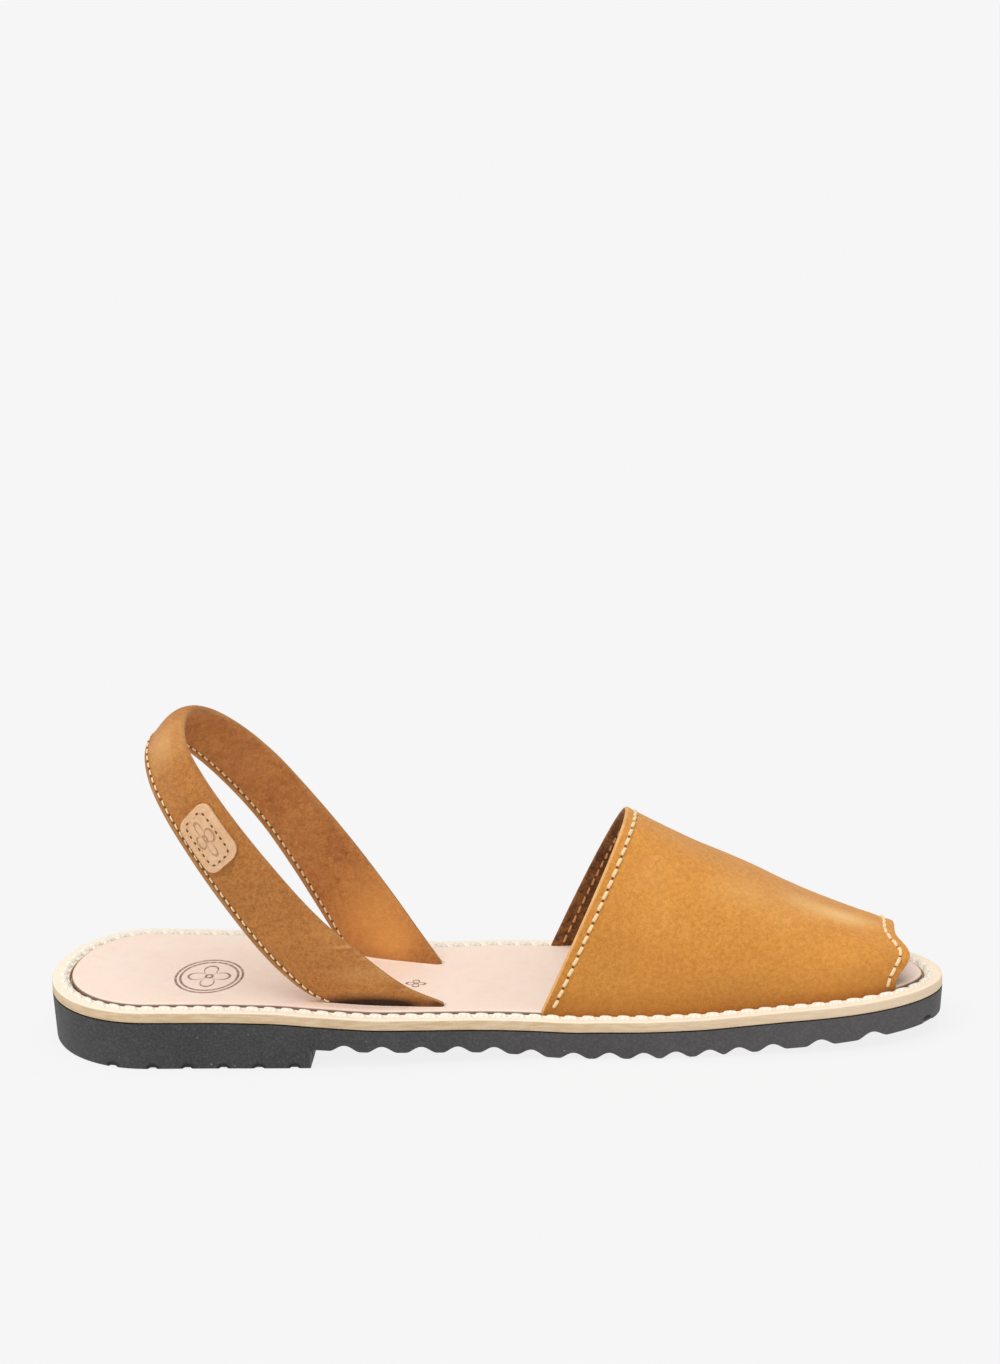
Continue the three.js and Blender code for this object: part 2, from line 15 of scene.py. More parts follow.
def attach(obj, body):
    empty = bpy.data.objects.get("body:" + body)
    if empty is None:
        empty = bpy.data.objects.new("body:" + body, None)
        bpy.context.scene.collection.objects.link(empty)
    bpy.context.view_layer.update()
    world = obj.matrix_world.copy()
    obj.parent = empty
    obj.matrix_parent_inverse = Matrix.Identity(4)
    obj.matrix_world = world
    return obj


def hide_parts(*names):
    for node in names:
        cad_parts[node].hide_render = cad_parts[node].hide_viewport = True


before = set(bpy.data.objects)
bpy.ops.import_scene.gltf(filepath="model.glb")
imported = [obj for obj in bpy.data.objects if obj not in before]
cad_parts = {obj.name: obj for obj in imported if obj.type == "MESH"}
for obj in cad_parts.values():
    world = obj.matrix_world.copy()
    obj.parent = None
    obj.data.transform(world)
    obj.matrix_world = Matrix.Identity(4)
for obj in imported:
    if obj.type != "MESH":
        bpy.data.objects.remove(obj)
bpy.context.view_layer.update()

# %% [markdown]
# ## The sole's own numbers
#
# A last maker draws a sole as a plan and a side line. Here both are short tables, read through one
# smooth curve that never swings past a row. The same tables carry the rubber, the welt, the insole
# and the foot of the vamp, so the pieces fit each other without any trying.

# %% Driving sizes
LENGTH = 259
HEEL_WIDTH, WAIST_WIDTH, BALL_WIDTH = 71, 66, 78
HEEL_ROUND = {-1: 32, 1: 25}
TOE_ROUND = {-1: 41, 1: 58}
TOE_SIDE = -4
HEEL_HEIGHT, SOLE_THICKNESS = 13.9, 7.9
HEEL_STEP, TOE_SPRING, HEEL_BREAST_AT = 5.6, 4.2, 0.304
WALL_DRAFT, SEAM = 0.6, 0.3
MIDSOLE_THICKNESS, TRAY_FLOOR, RIM_WIDTH = 3.2, 1, 5.2
INSOLE_PROUD, INSOLE_GROOVE = 0.6, 0.6
VAMP_WALL, VAMP_GAP = 2, 0.5
STRAP_WALL, STRAP_HEIGHT, SLITS_AT, SLIT_CLEARANCE = 2.4, 82, 0.385, 0.4
TAG_WALL, TAG_CORNER = 1.3, 3
GROOVE_DEPTH, GROOVE_HALF_WIDTH, GROOVE_FLARE = 1.8, 3, 1.45
NOTCH_DEPTH, NOTCH_HALF_WIDTH = 0.9, 1.3

# share of LENGTH, then the half widths on the inner and on the outer side
SOLE_PLAN = np.array([
    (0.00, 0.508, 0.500), (0.09, 0.510, 0.500), (0.19, 0.512, 0.476), (0.29, 0.518, 0.450),
    (0.36, 0.551, 0.470), (0.42, 0.529, 0.472), (0.49, 0.497, 0.520),
    (0.56, 0.402, 0.473), (0.62, 0.404, 0.533), (0.68, 0.410, 0.575), (0.73, 0.406, 0.590),
    (0.78, 0.388, 0.583), (0.83, 0.370, 0.553), (0.88, 0.363, 0.506), (0.94, 0.360, 0.442),
    (1.00, 0.359, 0.385),
])
# four rows are shares of the heel's width, three of the waist's and nine of the ball's
SOLE_PLAN[:, 1:] *= np.repeat([HEEL_WIDTH, WAIST_WIDTH, BALL_WIDTH], [4, 3, 9])[:, None]
# share of LENGTH, share of the drop from heel to ball, share of the toe spring
TOP_LINE = np.array([
    (0.00, 1.00, 0), (0.10, 1.02, 0), (0.20, 1.00, 0), (0.26, 0.94, 0), (0.32, 0.72, 0), (0.38, 0.50, 0),
    (0.44, 0.39, 0), (0.50, 0.27, 0), (0.55, 0.12, 0), (0.60, 0.01, 0), (0.66, 0, 0.03), (0.72, 0, 0.11),
    (0.79, 0, 0.29), (0.86, 0, 0.52), (0.93, 0, 0.72), (1.00, 0, 0.93),
])
# share of LENGTH, share of the heel step, share of the toe spring
UNDER_LINE = np.array([
    (HEEL_BREAST_AT, 1.0, 0), (0.36, 0.8, 0), (0.42, 0.65, 0), (0.49, 0.49, 0), (0.53, 0.3, 0),
    (0.57, 0.08, 0), (0.60, 0, 0), (0.665, 0, 0), (0.72, 0, 0.1), (0.79, 0, 0.24), (0.85, 0, 0.45),
    (0.92, 0, 0.72), (1.0, 0, 1.0),
])
GROOVES_AT = np.array([0.342, 0.383, 0.426, 0.466, 0.506, 0.547, 0.593, 0.632, 0.67, 0.705, 0.742, 0.774,
                       0.811, 0.864, 0.921])
NOTCHES_AT = np.array([0.083, 0.128, 0.167, 0.207, 0.2465, 0.286, 0.9825])

# %% A smooth curve through a table


def smooth(xs, ys, x):
    """Cubic pieces through (xs, ys): on each piece y = h00 y0 + h10 w m0 + h01 y1 + h11 w m1, where the
    slope m at a row is the harmonic mean of the slopes on its two sides, and level at a high or low row."""
    x = np.asarray(x, float)
    secant = np.diff(ys) / np.diff(xs)
    before, after = secant[:-1], secant[1:]
    total = np.where(before * after > 0, before + after, 1.0)
    between = np.where(before * after > 0, 2 * before * after / total, 0)
    slopes = np.concatenate([secant[:1], between, secant[-1:]])
    i = np.clip(np.searchsorted(xs, x) - 1, 0, len(xs) - 2)
    w = xs[i + 1] - xs[i]
    t = np.clip((x - xs[i]) / w, 0, 1)
    return ((2 * t**3 - 3 * t**2 + 1) * ys[i] + (t**3 - 2 * t**2 + t) * w * slopes[i]
            + (3 * t**2 - 2 * t**3) * ys[i + 1] + (t**3 - t**2) * w * slopes[i + 1])


def mix(a, b, share):
    return a + (b - a) * share


def unit(v):
    return v / np.maximum(np.linalg.norm(v, axis=-1, keepdims=True), 1e-9)


def rubber_top(x):
    rise = SOLE_THICKNESS + (HEEL_HEIGHT - SOLE_THICKNESS) * TOP_LINE[:, 1] + TOE_SPRING * TOP_LINE[:, 2]
    return smooth(TOP_LINE[:, 0], rise, x / LENGTH)


def rim_top(x):
    return rubber_top(x) + SEAM + MIDSOLE_THICKNESS


def tray_floor(x):
    return rubber_top(x) + SEAM + TRAY_FLOOR


def insole_top(x):
    return rim_top(x) + INSOLE_PROUD


def underside(x):
    """Height of the tread's plane over the floor: 0 under the heel block, then the raised waist."""
    lift = smooth(UNDER_LINE[:, 0], HEEL_STEP * UNDER_LINE[:, 1] + TOE_SPRING * UNDER_LINE[:, 2], x / LENGTH)
    return np.where(x < HEEL_BREAST_AT * LENGTH, 0, lift)


# %% The outline of the sole


def edge(side, turn):
    """Point of the outline. turn runs 0 to 1 from heel to toe, at = (1 - cos(pi turn)) / 2 is the share of
    LENGTH, and y = side * half width * quarter ellipse at the heel * quarter ellipse at the toe."""
    at = (1 - np.cos(np.pi * turn)) / 2
    half = smooth(SOLE_PLAN[:, 0], SOLE_PLAN[:, 1 if side < 0 else 2], at)
    heel = np.sqrt(1 - (1 - np.minimum(at * LENGTH / HEEL_ROUND[side], 1)) ** 2)
    toe = np.sqrt(1 - (1 - np.minimum((1 - at) * LENGTH / TOE_ROUND[side], 1)) ** 2)
    return np.stack([at * LENGTH, side * half * heel * toe + TOE_SIDE * (1 - toe)], -1)


def inset_edge(side, turn, inset):
    """The same point moved inwards by inset, square to the outline."""
    turn = np.asarray(turn, float)
    ahead, behind = edge(side, np.minimum(turn + 1e-3, 1)), edge(side, np.maximum(turn - 1e-3, 0))
    along = ahead - behind
    inwards = unit(side * np.stack([along[..., 1], -along[..., 0]], -1))
    inwards = np.where((turn <= 0)[..., None], [1.0, 0.0], inwards)
    inwards = np.where((turn >= 1)[..., None], [-1.0, 0.0], inwards)
    return edge(side, turn) + inwards * inset


def turn_at(side, x, inset):
    """The turn at which the inset outline reaches x, read backwards from a fine list of points."""
    turns = np.linspace(0, 1, 8001)
    return np.interp(x, inset_edge(side, turns, inset)[:, 0], turns)


def loop(inset, steps=220):
    """The closed inset outline, seen from above against the clock: inner side forwards, outer side back."""
    turns = np.linspace(0, 1, steps + 1)
    return np.concatenate([inset_edge(-1, turns[:-1], inset), inset_edge(1, turns[:0:-1], inset)])


outline = loop(0)
SHIFT = np.array([LENGTH / 2, (outline[:, 1].min() + outline[:, 1].max()) / 2, 0])
print("outline is", np.ptp(outline, axis=0).round(2), "mm, moved by", SHIFT.round(2))

# %% [markdown]
# ## From arrays to pieces
#
# Every piece is a grid of points. Quads join neighbours, equal points are merged so that seams and poles
# close, and then the faces are turned outwards. Two numbers for each point can be kept as a UV map, for
# patterns that follow the surface, such as the twist of a thread.

# %% A mesh from a grid


def quads_of(rows, cols, wrap_rows=False, wrap_cols=False):
    """Four corners for each face of a grid; a wrapped grid also joins its last row or column to its first."""
    i, j = np.meshgrid(np.arange(rows - (not wrap_rows)), np.arange(cols - (not wrap_cols)), indexing="ij")
    i2, j2 = (i + 1) % rows, (j + 1) % cols
    return np.stack([i * cols + j, i * cols + j2, i2 * cols + j2, i2 * cols + j], -1).reshape(-1, 4)


def add_piece(name, points, faces, materials, uv=None, face_slots=None, sharp=40):
    """points in mm are moved into the frame; uv is one pair for each point; sharp is in degrees."""
    mesh = bpy.data.meshes.new(name)
    mesh.from_pydata(((points.reshape(-1, 3) - SHIFT) / 1000).tolist(), [], faces.tolist())
    if uv is not None:
        layer = mesh.uv_layers.new(name="surface")
        layer.data.foreach_set("uv", uv.reshape(-1, 2)[faces.ravel()].astype(np.float32).ravel())
    for material in materials:
        mesh.materials.append(material)
    if face_slots is not None:
        mesh.polygons.foreach_set("material_index", face_slots.astype(np.int32))
    shell = bmesh.new()
    shell.from_mesh(mesh)
    bmesh.ops.remove_doubles(shell, verts=shell.verts, dist=2e-6)
    bmesh.ops.dissolve_degenerate(shell, edges=shell.edges, dist=1e-7)
    bmesh.ops.recalc_face_normals(shell, faces=shell.faces)
    shell.to_mesh(mesh)
    shell.free()
    mesh.shade_smooth()
    mesh.set_sharp_from_angle(angle=np.radians(sharp))
    piece = bpy.data.objects.new(name, mesh)
    bpy.context.scene.collection.objects.link(piece)
    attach(piece, "root")
    print(f"{name}: {len(mesh.polygons)} faces")
    return piece


HEEL_ARC, TOE_ARC = 45, 55  # how far from heel and toe the middle line ends


def around_sole(levels):
    """Rows of a piece with the sole's outline: each level is (inset, height over x), and the first and last
    are drawn in to a line along the middle, which closes the piece."""
    rows = []
    for inset, height in levels:
        flat = loop(inset)
        rows.append(np.column_stack([flat, height(flat[:, 0])]))

    def to_middle(row, height, share):
        spine = np.clip(row[:, 0], HEEL_ARC, LENGTH - TOE_ARC)
        flat = np.column_stack([mix(row[:, 0], spine, share), row[:, 1] * (1 - share)])
        return np.column_stack([flat, height(flat[:, 0])])

    shares = (1, 0.85, 0.7, 0.55, 0.4, 0.25, 0.12)
    first = [to_middle(rows[0], levels[0][1], s) for s in shares]
    last = [to_middle(rows[-1], levels[-1][1], s) for s in shares[::-1]]
    return np.array(first + rows + last)


# %% [markdown]
# ## Finishes
#
# Natural leather is never one colour: the hide takes the dye unevenly, handling polishes it and dust dulls
# it. Effects that several materials share are node groups, built once: uneven dye, brushed nap, pores, the
# twist of a thread, a soft spot and a tooled flower; the soft spots carry painted highlights and painted
# shade. They read the pieces' own coordinates or UV map, so nothing slides when a piece is seen from another
# side.

# %% Node helpers


def feed(socket, value):
    """Gives an input socket a plain value, or a link from another node's output socket."""
    if isinstance(value, bpy.types.NodeSocket):
        socket.id_data.links.new(value, socket)
    else:
        socket.default_value = value


def node(tree, kind, inputs=None, **settings):
    """Adds a node to a tree, which the helpers below find through a socket's id_data."""
    made = tree.nodes.new(kind)
    for key, value in settings.items():
        setattr(made, key, value)
    for key, value in (inputs or {}).items():
        feed(made.inputs[key], value)
    return made


def math(operation, *values, clamp=False):
    tree = next(value.id_data for value in values if isinstance(value, bpy.types.NodeSocket))
    made = node(tree, "ShaderNodeMath", dict(enumerate(values)), operation=operation, use_clamp=clamp)
    return made.outputs[0]


def times(a, b, clamp=False):
    return math("MULTIPLY", a, b, clamp=clamp)


def plus(a, b):
    return math("ADD", a, b)


def minus(a, b):
    return math("SUBTRACT", a, b)


def rest(share):
    return minus(1.0, share)


def larger(a, b, clamp=False):
    return math("MAXIMUM", a, b, clamp=clamp)


def vector_math(operation, *values):
    tree = values[0].id_data
    return node(tree, "ShaderNodeVectorMath", dict(enumerate(values)), operation=operation).outputs


def separate(vector):
    return node(vector.id_data, "ShaderNodeSeparateXYZ", {0: vector}).outputs


def remap(value, low, high, to_low=0.0, to_high=1.0, soft=True):
    """Carries low..high over to to_low..to_high and holds it there, in an S curve if soft, else straight."""
    return node(value.id_data, "ShaderNodeMapRange", {0: value, 1: low, 2: high, 3: to_low, 4: to_high},
                interpolation_type="SMOOTHSTEP" if soft else "LINEAR").outputs[0]


def noise(place, scale, detail=3.0, rough=0.5, twist=0.0):
    inputs = {"Vector": place, "Scale": scale, "Detail": detail, "Roughness": rough, "Distortion": twist}
    return node(place.id_data, "ShaderNodeTexNoise", inputs).outputs["Fac"]


def cells(place, scale):
    """Distance to the nearest of many scattered points."""
    return node(place.id_data, "ShaderNodeTexVoronoi", {"Vector": place, "Scale": scale}).outputs["Distance"]


def blend(share, a, b):
    """A colour between a and b."""
    return node(share.id_data, "ShaderNodeMix", {0: share, 6: a, 7: b}, data_type="RGBA").outputs[2]


def linear(red, green, blue):
    """A screen colour, 0 to 255, as the linear numbers that the shaders take."""
    c = np.array([red, green, blue]) / 255
    return (*np.where(c <= 0.04045, c / 12.92, ((c + 0.055) / 1.055) ** 2.4), 1.0)


def tint(colour, share, screen):
    """The colour, drawn by a share towards a screen colour."""
    return blend(share, colour, linear(*screen))


# %% Node groups
F, V, C = "NodeSocketFloat", "NodeSocketVector", "NodeSocketColor"


def group(name, takes, gives):
    """An empty shader group, its input sockets, and a function that links a value to one of its outputs."""
    tree = bpy.data.node_groups.new(name, "ShaderNodeTree")
    for sockets, side in ((takes, "INPUT"), (gives, "OUTPUT")):
        for socket, kind in sockets.items():
            tree.interface.new_socket(socket, in_out=side, socket_type=kind)
    begin, end = tree.nodes.new("NodeGroupInput"), tree.nodes.new("NodeGroupOutput")
    return tree, begin.outputs, lambda socket, value: feed(end.inputs[socket], value)


def use(shared, **inputs):
    """A shared group in the tree that its Vector comes from."""
    return node(inputs["Vector"].id_data, "ShaderNodeGroup", inputs, node_tree=shared).outputs


# %% Uneven dye
# Two noises of different size choose between a dark, a middle and a light tone.
LARGE_SHARE, SMALL_SCALE = 0.62, 7.0
uneven_dye, took, give = group(
    "uneven_dye", {"Vector": V, "Scale": F, "Dark": C, "Middle": C, "Light": C, "Spread": F},
    {"Color": C, "Mask": F})
large = noise(took["Vector"], took["Scale"], 2, 0.5, 0.6)
small = noise(took["Vector"], times(took["Scale"], SMALL_SCALE), 5, 0.65)
both = plus(times(large, LARGE_SHARE), times(small, 1 - LARGE_SHARE))
tone = math("ADD", math("DIVIDE", minus(both, 0.5), took["Spread"]), 0.5, clamp=True)
first = blend(remap(tone, 0.0, 0.5), took["Dark"], took["Middle"])
give("Color", blend(remap(tone, 0.5, 1.0), first, took["Light"]))
give("Mask", tone)


def dyed(place, scale, spread, tones):
    """Uneven dye between three screen colours: dark, middle and light."""
    dark, middle, light = (linear(*tone) for tone in tones)
    return use(uneven_dye, Vector=place, Scale=scale, Dark=dark, Middle=middle, Light=light, Spread=spread)


# %% Brushed nap
# Fine fibres, flecks about three times as large, and brushed patches where the fibres lie another way.
PATCH_SCALE, FLECK_SCALE, PATCH_HEIGHT = 0.05, 0.36, 0.8
brushed_nap, took, give = group("brushed_nap", {"Vector": V, "Scale": F},
                                {"Height": F, "Patch": F, "Speck": F, "Fleck": F})
fibre = noise(took["Vector"], took["Scale"], 3, 0.75)
fleck = noise(took["Vector"], times(took["Scale"], FLECK_SCALE), 2, 0.5, 0.4)
lay = noise(took["Vector"], times(took["Scale"], PATCH_SCALE), 3, 0.6, 1.2)
give("Height", plus(fibre, times(lay, PATCH_HEIGHT)))
give("Patch", remap(lay, 0.38, 0.62))
give("Speck", remap(fibre, 0.35, 0.68))
give("Fleck", remap(fleck, 0.3, 0.7))

# %% Smooth grain
# Pores in small cells and faint drawn lines.
smooth_grain, took, give = group("smooth_grain", {"Vector": V, "Scale": F}, {"Height": F, "Pores": F})
pores = remap(cells(took["Vector"], took["Scale"]), 0.05, 0.3)
drawn = noise(took["Vector"], times(took["Scale"], 0.2), 4, 0.6, 0.8)
give("Height", plus(times(pores, 0.4), drawn))
give("Pores", pores)

# %% Thread twist
# Slanted bands over the thread's own UV: height = |sin(pi (turns u + v))|.
thread_twist, took, give = group("thread_twist", {"Vector": V, "Turns": F}, {"Height": F})
uv = separate(took["Vector"])
slanted = plus(times(uv[0], took["Turns"]), uv[1])
give("Height", math("ABSOLUTE", math("SINE", times(slanted, float(np.pi)))))

# %% Soft spot
# 1 at a centre in mm, falling to 0 at its three reaches.
soft_spot, took, give = group("soft_spot", {"Vector": V, "Centre": V, "Reach": V}, {"Mask": F})
away = vector_math("SUBTRACT", took["Vector"], took["Centre"])[0]
far = vector_math("LENGTH", vector_math("DIVIDE", away, took["Reach"])[0])["Value"]
give("Mask", rest(remap(far, 0.0, 1.0)))

# %% Tooled flower
# An open flower r = 0.62 R |cos(2 angle)|^0.6 with a heart, and two rings round it if wanted, in mm.
PETAL_REACH, PETAL_POWER, HEART_REACH, INNER_RING = 0.62, 0.6, 0.1, 0.86
tooled_flower, took, give = group(
    "tooled_flower", {"Vector": V, "Centre": V, "Radius": F, "Squash": F, "Rings": F, "Line": F}, {"Mask": F})
flat = separate(vector_math("SUBTRACT", took["Vector"], took["Centre"])[0])
px, py = math("DIVIDE", flat[0], took["Squash"]), flat[1]
reach = math("SQRT", plus(times(px, px), times(py, py)))
petal = math("POWER", math("ABSOLUTE", math("COSINE", times(math("ARCTAN2", py, px), 2.0))), PETAL_POWER)


def drawn_line(radius):
    """1 where the reach is the radius and 0 beyond a line's width, with a soft edge."""
    away = math("ABSOLUTE", minus(reach, radius))
    return rest(remap(math("DIVIDE", away, took["Line"]), 0.35, 0.75))


petals = drawn_line(times(petal, times(took["Radius"], PETAL_REACH)))
heart = drawn_line(times(took["Radius"], HEART_REACH))
rings = larger(drawn_line(took["Radius"]), drawn_line(times(took["Radius"], INNER_RING)))
give("Mask", larger(larger(petals, heart), times(rings, took["Rings"])))
print("shared effects:", [g.name for g in bpy.data.node_groups])

# %% [markdown]
# ## The materials
#
# Each one starts from its own Principled shader. Colour goes through the uneven dye, then through darker
# places, partly painted shade, that follow the piece's own UV map, and through soft spots of painted
# highlight and painted shade. On the vamp and the strap that map holds decimetres along and across the
# leather, and on the tag and the threads it holds shares from 0 to 1.

# %% Material starts


def material(name, roughness=0.6, **sockets):
    """A material whose shader takes the numbers that are the same all over."""
    made = bpy.data.materials.new(name)
    made.use_nodes = True
    shader = made.node_tree.nodes["Principled BSDF"]
    for socket, value in {"Roughness": roughness, **sockets}.items():
        feed(shader.inputs[socket.replace("_", " ")], value)
    return made


def start(made):
    """The Principled shader of a material, and the coordinates of the piece that wears it."""
    tree = made.node_tree
    return tree.nodes["Principled BSDF"], node(tree, "ShaderNodeTexCoord").outputs["Object"]


def dress(shader, colour, height, depth, rough=None):
    """Links colour, roughness and a bump whose depth is in metres."""
    feed(shader.inputs["Base Color"], colour)
    relief = node(shader.id_data, "ShaderNodeBump", {"Height": height, "Distance": depth, "Strength": 1.0})
    feed(shader.inputs["Normal"], relief.outputs[0])
    if rough is not None:
        feed(shader.inputs["Roughness"], rough)


def surface_uv(shader):
    return node(shader.id_data, "ShaderNodeUVMap", uv_map="surface").outputs[0]


def facing_up(shader):
    """The upward part of the normal: 1 on a level face and 0 on an upright one."""
    return separate(node(shader.id_data, "ShaderNodeNewGeometry").outputs["Normal"])[2]


def built_mm(place):
    """The piece's own coordinates in the millimetres in which the surfaces are worked out."""
    return vector_math("MULTIPLY_ADD", place, (1000, 1000, 1000), tuple(SHIFT))[0]


def spots(place, rows):
    """Sum of strength * soft spot over the rows (centre, reach, strength)."""
    in_mm, total = built_mm(place), None
    for centre, reach, strength in rows:
        one = times(use(soft_spot, Vector=in_mm, Centre=centre, Reach=reach)["Mask"], strength)
        total = one if total is None else plus(total, one)
    return total


def napped(name, tones, scale, spread, nap, sheen, depth, speck=0.16, shade=None, marks=None,
           deep=(112, 62, 28), painted_light=(255, 214, 156), painted_shade=(58, 28, 14)):
    """Nubuck or suede: uneven dye, specks of raised fibre, brushed patches, and a soft sheen. The tones are
    the dye's dark, middle and light. shade is a function of (u, v, place), with u and v in mm, that gives how
    much darker a place is, partly as painted shade; marks are soft spots of painted highlight (+) and painted
    shade (-)."""
    made = material(name, 0.85, Sheen_Weight=sheen, Sheen_Roughness=0.45, Sheen_Tint=(1.0, 0.86, 0.68, 1.0),
                    Specular_IOR_Level=0.25)
    shader, place = start(made)
    dark, _, light = tones
    fibres = use(brushed_nap, Vector=place, Scale=nap)
    colour = dyed(place, scale, spread, tones)["Color"]
    colour = tint(colour, times(fibres["Speck"], speck), light)
    colour = tint(colour, times(rest(fibres["Speck"]), speck * 0.8), deep)
    colour = tint(colour, remap(fibres["Fleck"], 0.0, 1.0, speck * 0.6, 0.0, soft=False), deep)
    colour = tint(colour, times(fibres["Fleck"], speck * 0.5), light)
    colour = tint(colour, times(rest(fibres["Patch"]), 0.2), dark)
    # painted shade, with some darker leather, from the shade function
    if shade is not None:
        uv = separate(surface_uv(shader))
        colour = tint(colour, shade(times(uv[0], 100.0), times(uv[1], 100.0), place), deep)
    # soft spots of painted highlight and painted shade
    if marks is not None:
        total = spots(place, marks)
        colour = tint(colour, times(total, 1.0, clamp=True), painted_light)
        colour = tint(colour, times(total, -1.0, clamp=True), painted_shade)
    dress(shader, colour, fibres["Height"], depth, remap(fibres["Patch"], 0.0, 1.0, 0.78, 0.92, soft=False))
    return made


# %% Painted shade, and where the leather is darker
VAMP_ROUND, STRAP_LONG = 150.0, 235.0  # mm over the vamp, and along the strap from slit to slit


def vamp_shade(u, v, place):
    """Darker just over the welt, in the collar seam's furrow and in faint handling marks, and painted shade
    over the lower flanks.
    """
    base = math("MINIMUM", v, minus(VAMP_ROUND, v))
    # darker just over the welt, and painted shade up to 42 mm over it
    foot = plus(remap(base, 3.5, 12.0, 0.28, 0.0), remap(base, 4.0, 42.0, 0.22, 0.0))
    marks = remap(noise(place, 55.0, 4, 0.6, 1.5), 0.58, 0.72, 0.0, 0.16)
    furrow = times(rest(remap(math("ABSOLUTE", minus(u, 3.3)), 0.0, 1.2)), 0.2)
    return larger(larger(foot, marks), furrow, clamp=True)


def strap_shade(u, v, place):
    """Painted shade at both slits, where the band bends, and darker along its stitched edge."""
    # painted shade near each slit
    slit = remap(math("MINIMUM", u, minus(STRAP_LONG, u)), 6.0, 22.0, 0.2, 0.0)
    marks = remap(noise(place, 60.0, 4, 0.6, 1.5), 0.58, 0.72, 0.0, 0.14)
    return larger(larger(slit, marks), remap(v, 0.0, 1.6, 0.4, 0.0), clamp=True)


# %% Nubuck of the vamp
# soft spots of painted highlight (+) and of painted shade and darker leather (-): centre, reach, strength
VAMP_LIGHT_AND_SHADE = [
    ((225, -3, 36), (26, 10, 8), 0.46), ((236, -2.5, 33.5), (17, 9, 6.5), 0.75),
    ((204, -11, 43), (24, 11, 9), 0.2), ((214, -15, 36), (14, 8, 5), 0.12), ((176, -15, 50), (10, 9, 9), 0.1),
    ((198, 0, 50), (18, 10, 5), -0.05), ((166, -24, 30), (12, 9, 16), -0.05),
    ((205, -26, 18), (40, 6, 6), -0.08), ((244, -14, 25), (6, 6, 6), -0.08),
]
nubuck = napped("nubuck_tan", [(222, 141, 54), (239, 161, 68), (250, 182, 92)], 38.0, 0.68, 2400.0, 0.3,
                0.0002, speck=0.4, shade=vamp_shade, marks=VAMP_LIGHT_AND_SHADE, deep=(160, 94, 34),
                painted_light=(255, 207, 134))
lining = napped("flesh_side_brown", [(98, 58, 28), (134, 84, 44), (186, 124, 70)], 90.0, 0.4, 1000.0, 0.25,
                0.0003, speck=0.62, deep=(52, 28, 14))
cut_edge = napped("cut_edge", [(222, 156, 86), (246, 188, 120), (254, 212, 152)], 160.0, 0.4, 2400.0, 0.1,
                  0.00015)

# %% Nubuck of the strap
# painted shadow (-) under the band's foot, at the fold by the slit and in a few thin lines, and painted
# highlights (+): centre, reach, strength
STRAP_LIGHT_AND_SHADE = [
    ((115.5, -25, 15.3), (5, 3, 2.4), -0.7), ((92, -26, 15.4), (21, 6, 4.8), -1.25),
    ((104, -26, 15), (16, 5, 3.2), -0.8), ((89, -28, 34), (8, 3, 0.9), 0.36),
    ((96, -27, 30), (7, 3, 0.8), 0.3), ((106, -27, 20), (6, 3, 0.8), 0.3),
    ((84, -28, 28), (9, 3, 0.9), -0.14), ((34, -16, 84), (1.6, 8, 7), -0.2),
    ((42, -14, 92), (2.2, 8, 6), -0.16), ((66, -29, 50), (14, 5, 12), -0.06),
    ((39, -14, 90), (11, 10, 12), 0.42), ((46, -8, 95), (9, 8, 5), 0.25),
    ((96, -27, 25), (16, 5, 5), 0.2), ((55, -29, 60), (6, 5, 14), 0.08),
]
# painted bounce light from the insole, low on the band's inner face, and small painted highlights
INSIDE_PAINTED_LIGHT = [
    ((94, 14, 28), (20, 9, 22), 0.5), ((56, 11, 84), (3.5, 3, 1.0), 0.3), ((61, 14, 78), (3, 3, 0.8), 0.25),
    ((78, 17, 56), (4, 3, 1.2), 0.2), ((100, 13, 20), (12, 8, 9), 0.3),
]
strap_nubuck = napped("nubuck_tan_band", [(182, 113, 50), (205, 133, 66), (226, 158, 88)], 45.0, 0.5, 2500.0,
                      0.3, 0.00018, speck=0.38, shade=strap_shade, marks=STRAP_LIGHT_AND_SHADE, deep=(96, 50, 22),
                      painted_light=(250, 196, 126))
# its painted light has the warm colour of the light bounced off the insole
strap_inside = napped("suede_inside_band", [(180, 110, 54), (202, 130, 68), (226, 158, 92)], 60.0, 0.4,
                      1500.0, 0.3, 0.00024, speck=0.38, shade=strap_shade, marks=INSIDE_PAINTED_LIGHT,
                      deep=(124, 66, 28), painted_light=(250, 178, 92))
band_edge = napped("cut_edge_band", [(168, 112, 60), (190, 134, 80), (214, 160, 104)], 160.0, 0.4, 2400.0,
                   0.1, 0.00015)

# %% Smooth leather of the insole
# The pressed marks are (x, y) in mm: a ringed flower at the heel and a tiny one at the middle.
HEEL_MARK, MIDDLE_MARK = (47.0, -8.0), (107.0, -6.6)
insole_leather = material("insole_leather", 0.5, Specular_IOR_Level=0.4, Coat_Weight=0.05,
                          Coat_Roughness=0.35)
shader, place = start(insole_leather)
dye = dyed(place, 26.0, 0.6, [(250, 219, 198), (255, 231, 213), (255, 238, 224)])
grain = use(smooth_grain, Vector=place, Scale=1500.0)
colour = tint(dye["Color"], times(rest(grain["Pores"]), 0.16), (206, 160, 132))
colour = tint(colour, remap(noise(place, 260.0, 3, 0.6, 0.5), 0.45, 0.75, 0.0, 0.12), (232, 190, 160))
colour = tint(colour, times(remap(facing_up(shader), 0.4, 0.9, 1.0, 0.0), 0.85), (104, 66, 48))
heel_mark = use(tooled_flower, Vector=built_mm(place), Centre=(*HEEL_MARK, 0), Radius=13.5, Squash=0.72,
                Rings=1.0, Line=0.8)["Mask"]
